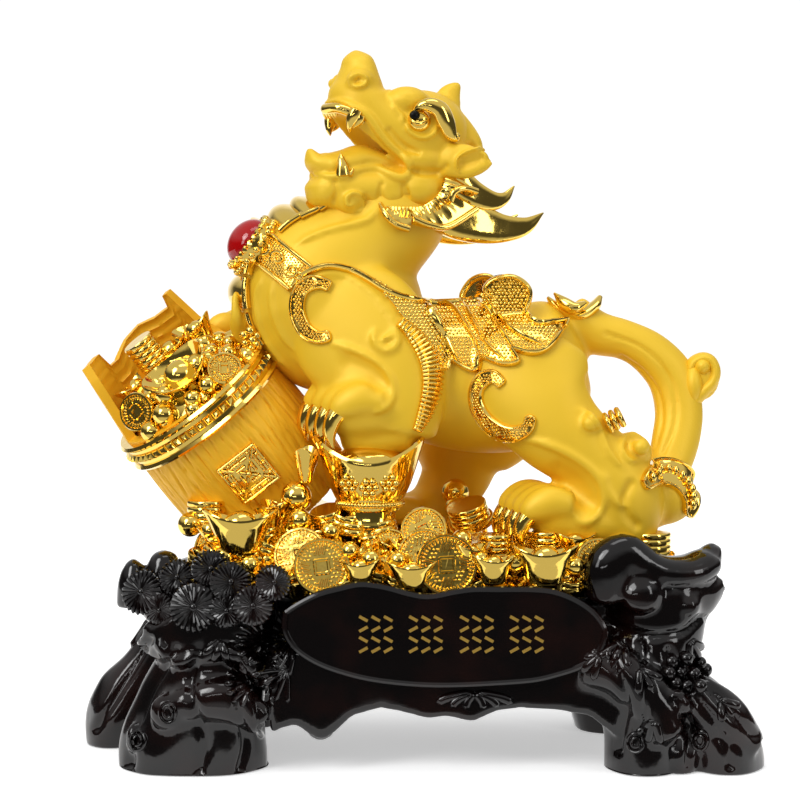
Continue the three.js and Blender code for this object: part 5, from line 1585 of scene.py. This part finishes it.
ROOT_GROOVES = [
    [(-133.5, 51), (-148.5, 26), (-160.5, 7)],
    [(-120.5, 46), (-133.5, 26), (-140.5, 6), (-143.5, -11.5)],
    [(-108.5, 46), (-113.5, 26), (-105.5, 1), (-108.5, -14)],
    [(-88.5, 41), (-90.5, 21), (-85.5, 1), (-88.5, -14)],
    [(111.5, 51), (115.5, 26), (111.5, 1)],
    [(125.5, 46), (136.5, 26), (151.5, 6), (156.5, -12)],
    [(136.5, 41), (151.5, 21), (169, 3)],
    [(97.5, 41), (104.5, 21), (100.5, -4)],
    [(94.5, 60), (111.5, 54), (131.5, 55), (143.5, 63)],
    [(-74.5, 46), (-79.5, 26), (-77.5, 6)],
    [(129.5, 21), (136.5, 6), (135.5, -12)],
]


def rippled(o):
    gnarl = np.random.default_rng(3)
    points, normals = points_of(o), normals_of(o)
    waves = np.zeros(len(points))
    for _ in range(9):
        way = unit(gnarl.normal(size=3))
        waves += np.sin(points @ way * gnarl.uniform(0.10, 0.3) + gnarl.uniform(0, 6))
    side_only = 1 - np.clip(np.abs(normals[:, 2]), 0, 1) ** 2
    set_points(o, points + normals * (waves * 0.33 * side_only)[:, None])


# Nothing goes below the table, and the deck is flat where the heap stands.
def levelled(o):
    points = points_of(o)
    points[:, 2] = np.maximum(points[:, 2], 0.0)
    inside = (np.abs(points[:, 0]) < 112) & (points[:, 1] > -58) & (points[:, 1] < 68)
    points[:, 2] = np.where(inside, np.minimum(points[:, 2], DECK + 0.5), points[:, 2])
    set_points(o, points)


def roots():
    shapes = [block(-120, 122, -50, 66, 52, 83), block(-116, 118, 60, 76, 36, 82),
              prism(APRON, y0=-64, y1=-46)]
    shapes += [limb(stations, sides, rings) for stations, sides, rings in ROOT_LIMBS]
    shapes += [ball(at, radii) for at, radii in ROOT_BURLS]
    o = clay("root_carving", shapes, voxel=1.7, rounds=4)
    rippled(o)
    press(o, ROOT_GROOVES, width=2.0, amount=-2.4)
    levelled(o)
    return o


# Discs of pine needles: place, radius and the way they face.
PINE_TUFTS = [
    ((-129.5, -59.5, 85), 10.5, (-0.4, -1, 0.3)), ((-112.5, -61.5, 92), 9, (-0.1, -1, 0.4)),
    ((-96.5, -65.5, 96.5), 9.5, (0, -1, 0.4)), ((-87, -69.5, 91), 10, (0.2, -1, 0.3)),
    ((-104, -71.5, 79.5), 11.5, (-0.1, -1, 0.2)), ((-67, -71.5, 91), 8.5, (0.3, -1, 0.3)),
    ((-76.5, -73.5, 80.5), 9.5, (0.1, -1, 0.1)), ((-120.5, -63.5, 77), 8, (-0.3, -1, 0)),
    ((-89, -71.5, 78), 8.5, (0.1, -1, 0)),
]
NEEDLES = 24


def pine_tuft(r):
    made = [turned([(0.2, -9), (r * 0.75, -9), (r * 0.93, -2), (r * 0.97, -0.8),
                    (r * 0.6, 0.2), (0.2, 0.7)], sides=36)]
    needle = limb([(r * 0.16, 0, 0.9, 0.6, 0.4), (r * 0.6, 0, 0.9, 0.95, 0.85),
                   (r * 0.9, 0, 0.1, 0.95, 0.95),
                   (r * 1.0, 0, -1.0, 0.6, 0.6)], sides=6, rings=6)
    made += [turned_by(needle, a, "Z") for a in around(NEEDLES)]
    return made + [ball((0, 0, 1.2), (r * 0.17, r * 0.17, 1.2), sides=10)]


def pine_tufts():
    made = []
    for at, r, way in PINE_TUFTS:
        turn = facing(way, dice.uniform(0, 1))
        made += [moved(s, at, turn) for s in pine_tuft(r)]
    return made


# Carving drawn on the roots. Fans of needles: root, reach, first and last angle in degrees, how many.
FANS = [
    ((-60.5, 51), 20, 120, 260, 8), ((-64.5, 37), 19, 130, 270, 8), ((-77.5, 51), 14, 100, 240, 7),
    ((-83.5, 29), 13, 110, 250, 7),
]
# Leaves of three lobes: root, reach and heading in degrees.
LEAVES = [
    ((87.5, 68), 15, 250), ((83.5, 59), 17, 230), ((93.5, 56), 15, 280), ((102.5, 51), 15, 250),
    ((111.5, 37), 13, 300), ((91.5, 43.5), 13, 220), ((136.5, 51), 11, 300), ((151.5, 21), 11, 310),
    ((119, 11), 12, 250), ((-142.5, 61), 11, 230), ((-97.5, 51), 12, 250),
]
BERRIES = [
    (127, 41), (133.5, 42.5), (140, 40), (125, 35), (131.5, 35.5), (138, 33), (143.5, 35), (128.5, 29),
    (135.5, 27), (141.5, 28),
]
KNOTS = [(-124.5, 15), (-139.5, 1), (141.5, 1), (109.5, 0)]
# The spray in the middle of the apron: where it starts, and the reach and drop of its leaves.
SPRAY_AT = (29, 25)
SPRAY = ((5, 8), (12, 7), (19, 5))


def needle_fans(tree):
    made = []
    for (u, v), reach, a0, a1, count in FANS:
        for k in range(count):
            a = math.radians(a0 + (a1 - a0) * k / (count - 1))
            line = [(u, v), (u + math.cos(a) * reach * 0.6, v + math.sin(a) * reach * 0.6),
                    (u + math.cos(a) * reach, v + math.sin(a) * reach * 0.92)]
            made.append(ridge(tree, line, width=3.0, height=2.2, count=12, ends=0.15, sides=6))
    return made


def leaves(tree):
    made = []
    for (u, v), reach, heading in LEAVES:
        for spread_by in (-34, 0, 34):
            a = math.radians(heading + spread_by)
            tip = (u + math.cos(a) * reach, v + math.sin(a) * reach)
            line = [(u, v), ((u + tip[0]) / 2, (v + tip[1]) / 2), tip]
            made.append(ridge(tree, line, width=4.2, height=1.8, count=14, ends=0.1, sides=6))
    return made


def berries(tree):
    made = []
    for u, v in BERRIES:
        p, n = on_skin(tree, u, v)
        made.append(ball(p + n * 1.5, radii=3.4, sides=12))
    return made


def ringed_knots(tree):
    made = []
    for u, v in KNOTS:
        for r in (8.2, 4.4):
            turn = np.linspace(0, 2 * math.pi, 13)
            ring = [(u + r * 0.5 * math.cos(a), v + r * 0.6 * math.sin(a)) for a in turn]
            made.append(ridge(tree, ring, width=1.7, height=1.2, count=36, ends=1.0, sides=6))
    return made


def spray(tree):
    made = []
    u, v = SPRAY_AT
    for s in (1, -1):
        for reach, drop in SPRAY:
            line = [SPRAY_AT, (u + s * reach * 0.7, v - drop * 0.5), (u + s * reach, v - drop)]
            made.append(ridge(tree, line, width=4.6, height=2.2, count=14, ends=0.3))
    return made


def needles_and_leaves(tree):
    return needle_fans(tree) + leaves(tree) + berries(tree) + ringed_knots(tree) + spray(tree)


# The name panel with its raised rim, and the depths of its rim and of its paint.
PANEL_FRONT, PANEL_BACK = -68.5, -60
PANEL_RIM = -68.2
PAINT_FRONT = -68.85


def name_panel():
    rim = [(*at_depth(u, v, PANEL_RIM), 1.5, 1.5) for u, v in PANEL + PANEL[:1]]
    return [prism(PANEL, PANEL_FRONT, PANEL_BACK), limb(rim, sides=8, rings=150)]


# Four groups of slanted dashes along the panel, laid on in gold paint.
GROUPS = ((-20.5, 54), (4.5, 54), (30, 54), (55, 54))
DASH = np.array([2.4, 0.75])  # half length and half width
LEAN = 0.5


def dash(middle, lean):
    along = unit(np.array([math.cos(lean), math.sin(lean)]))
    across = np.array([-along[1], along[0]])
    corners = ((-1, 1), (-1, -1), (1, -1), (1, 1))
    ends = [middle + along * a * DASH[0] + across * b * DASH[1] for a, b in corners]
    return prism([tuple(e) for e in ends], PAINT_FRONT, PANEL_RIM)


def strokes():
    made = []
    for u, v in GROUPS:
        for row in range(4):
            for column in range(3):
                middle = np.array([u + (column - 1) * 6.2, v + (1.5 - row) * 5.2])
                made.append(dash(middle, LEAN if row % 2 else -LEAN))
    return made


# Build.
SAND = sand_gold()
PLATED = plated_gold()
LACQUER = black_lacquer()
GOLD = "gold_resin"
BLACK = "black_lacquer"

torso = body()
skull = head()
lobes = make("saddle_lobes", saddle_lobes(), smooth=30)
skins = tree_of(torso, skull, lobes)
dress(torso, SAND, GOLD, "cast_figure")
dress(skull, SAND, GOLD)
dress(make("tail_curl", tail_curl(), smooth=60), SAND, GOLD)
dress(lobes, PLATED, GOLD)
fields = []
for far in (False, True):
    fields.append(plate(skins, WING, lift=1.5, step=1.6, far=far))
    fields += pebbles(skins, WING, pitch=1.85, height=0.8, lift=1.5, far=far)
dress(make("wing_fields", fields, smooth=60), PLATED, GOLD)
dress(make("skin_ornament", skin_ornament(skins)), PLATED, GOLD)
dress(make("head_ornament", head_plated() + mane()), PLATED, GOLD)
dress(make("pupils", pupils()), enamel("black_eye_paint", "#0A0808"), GOLD)
dress(make("claws", [claw for paw in PAWS for claw in claws(*paw)]), PLATED, GOLD)
# The staves take a more orange copy of the same sand gold spray. This is painted shade: the deeper orange
# the gold takes where it lies in shade and catches light bounced off other gold.
shaded_sand = sand_gold("sand_gold_spray_painted_shade", "#F8B81A", "#FFC826")
dress(make("barrel_staves", [in_barrel(staves())], smooth=60), shaded_sand, GOLD)
ornament = barrel_band() + badge() + barrel_treasure()
dress(make("barrel_ornament", [in_barrel(s) for s in ornament]), PLATED, GOLD)
dress(make("heap_treasure", heap_bed() + strewn() + heap_treasure()), PLATED, GOLD)
dress(make("jewel_setting", jewel_setting()), PLATED, GOLD)
dress(make("jewel_stone", [jewel_stone()], smooth=60), red_stone(), "red_stone", "chest_jewel")

root = roots()
base_tree = tree_of(root)
dress(root, LACQUER, BLACK, "rootwood_base")
dress(make("pine_tufts", pine_tufts()), LACQUER, BLACK)
dress(make("needles_and_leaves", needles_and_leaves(base_tree)), LACQUER, BLACK)
dress(make("name_panel", name_panel(), smooth=30), LACQUER, BLACK)
dress(make("panel_strokes", strokes(), smooth=20), enamel("gold_enamel_paint", "#C9A24B"), BLACK)


# The table under the piece, pale and softly lit from within.
def table():
    m, t = finish_named("pale_lit_acrylic_table")
    at = add(t, "ShaderNodeTexCoord").outputs["Object"]
    haze = add(t, "ShaderNodeTexNoise", {"Scale": grains(TABLE_HAZE), "Detail": 2.0}, {"Vector": at})
    rough = add(t, "ShaderNodeMapRange", {"To Min": 0.85, "To Max": 0.95}, {"Value": haze.outputs["Fac"]})
    acrylic = add(t, "ShaderNodeBsdfPrincipled",
                  {"Base Color": srgb("#F4F4F4"), "Emission Color": (1, 1, 1, 1), "Emission Strength": 0.45},
                  {"Roughness": rough.outputs["Result"]})
    add(t, "ShaderNodeOutputMaterial", links={"Surface": acrylic.outputs["BSDF"]})
    bpy.ops.mesh.primitive_plane_add(size=3.0, location=(0, 1.375, -0.0005))
    ground = bpy.context.object
    ground.name = "floor"
    ground.data.materials.append(m)


# The room is white straight behind the piece. Elsewhere it is dark at eye level, and pale above and below.
ROOM_STOPS = ((0.27, 0.62), (0.36, 0.07), (0.6, 0.07), (0.74, 0.62))  # level and brightness


def room():
    world = bpy.data.worlds.new("studio")
    bpy.context.scene.world = world
    world.use_nodes = True
    t = world.node_tree
    t.nodes.clear()
    way = add(t, "ShaderNodeTexCoord").outputs["Generated"]
    split = add(t, "ShaderNodeSeparateXYZ", links={"Vector": way})
    behind = add(t, "ShaderNodeMapRange", {"From Min": 0.7, "From Max": 0.93},
                 {"Value": split.outputs["Y"]})
    level = add(t, "ShaderNodeMapRange", {"From Min": -1.0, "From Max": 1.0},
                {"Value": split.outputs["Z"]})
    front = add(t, "ShaderNodeValToRGB", links={"Fac": level.outputs["Result"]})
    front.color_ramp.elements.new(0.5)
    front.color_ramp.elements.new(0.6)
    for stop, (place, bright) in zip(front.color_ramp.elements, ROOM_STOPS):
        stop.position = place
        stop.color = (bright, bright, bright, 1)
    ramp = add(t, "ShaderNodeMix", {"B": (1.06, 1.06, 1.06, 1)},
               {"Factor": behind.outputs["Result"], "A": front.outputs["Color"]}, data_type="RGBA")
    back = add(t, "ShaderNodeBackground", {"Strength": 1.0}, {"Color": ramp.outputs["Result"]})
    add(t, "ShaderNodeOutputWorld", links={"Surface": back.outputs[0]})


# Soft boxes in metres and watts: name, place, width and height, power.
SOFT_BOXES = (
    ("key", (-0.9, -1.0, 0.75), (0.32, 0.9), 4.0),
    ("fill", (1.0, -0.85, 0.55), (0.24, 0.8), 2.8),
    ("top", (0.15, -0.25, 1.4), (0.8, 0.35), 2.6),
    ("low", (-0.35, -1.5, 0.3), (0.7, 0.05), 0.8),
)
SUN_AT = (-0.5, -0.62, 0.8)
LAMPS_LOOK_AT = Vector((0, 0, 0.17))


def placed_lamp(lamp, place):
    o = bpy.data.objects.new(lamp.name, lamp)
    bpy.context.collection.objects.link(o)
    o.location = place
    o.rotation_euler = (LAMPS_LOOK_AT - o.location).to_track_quat("-Z", "Y").to_euler()


def lights():
    sun = bpy.data.lights.new("sun", "SUN")
    sun.energy = 1.15
    sun.angle = math.radians(28)
    placed_lamp(sun, SUN_AT)
    for name, place, size, power in SOFT_BOXES:
        lamp = bpy.data.lights.new(name, "AREA")
        lamp.shape = "RECTANGLE"
        lamp.size, lamp.size_y = size
        lamp.energy = power
        placed_lamp(lamp, place)


def camera():
    data = bpy.data.cameras.new("camera")
    data.lens = 100
    data.sensor_width = 36
    o = bpy.data.objects.new("camera", data)
    bpy.context.collection.objects.link(o)
    o.location = EYE * MM
    o.rotation_euler = (math.pi / 2 - DOWN, 0, 0)
    bpy.context.scene.camera = o


table()
room()
lights()
camera()
bpy.context.scene.view_settings.view_transform = "Standard"
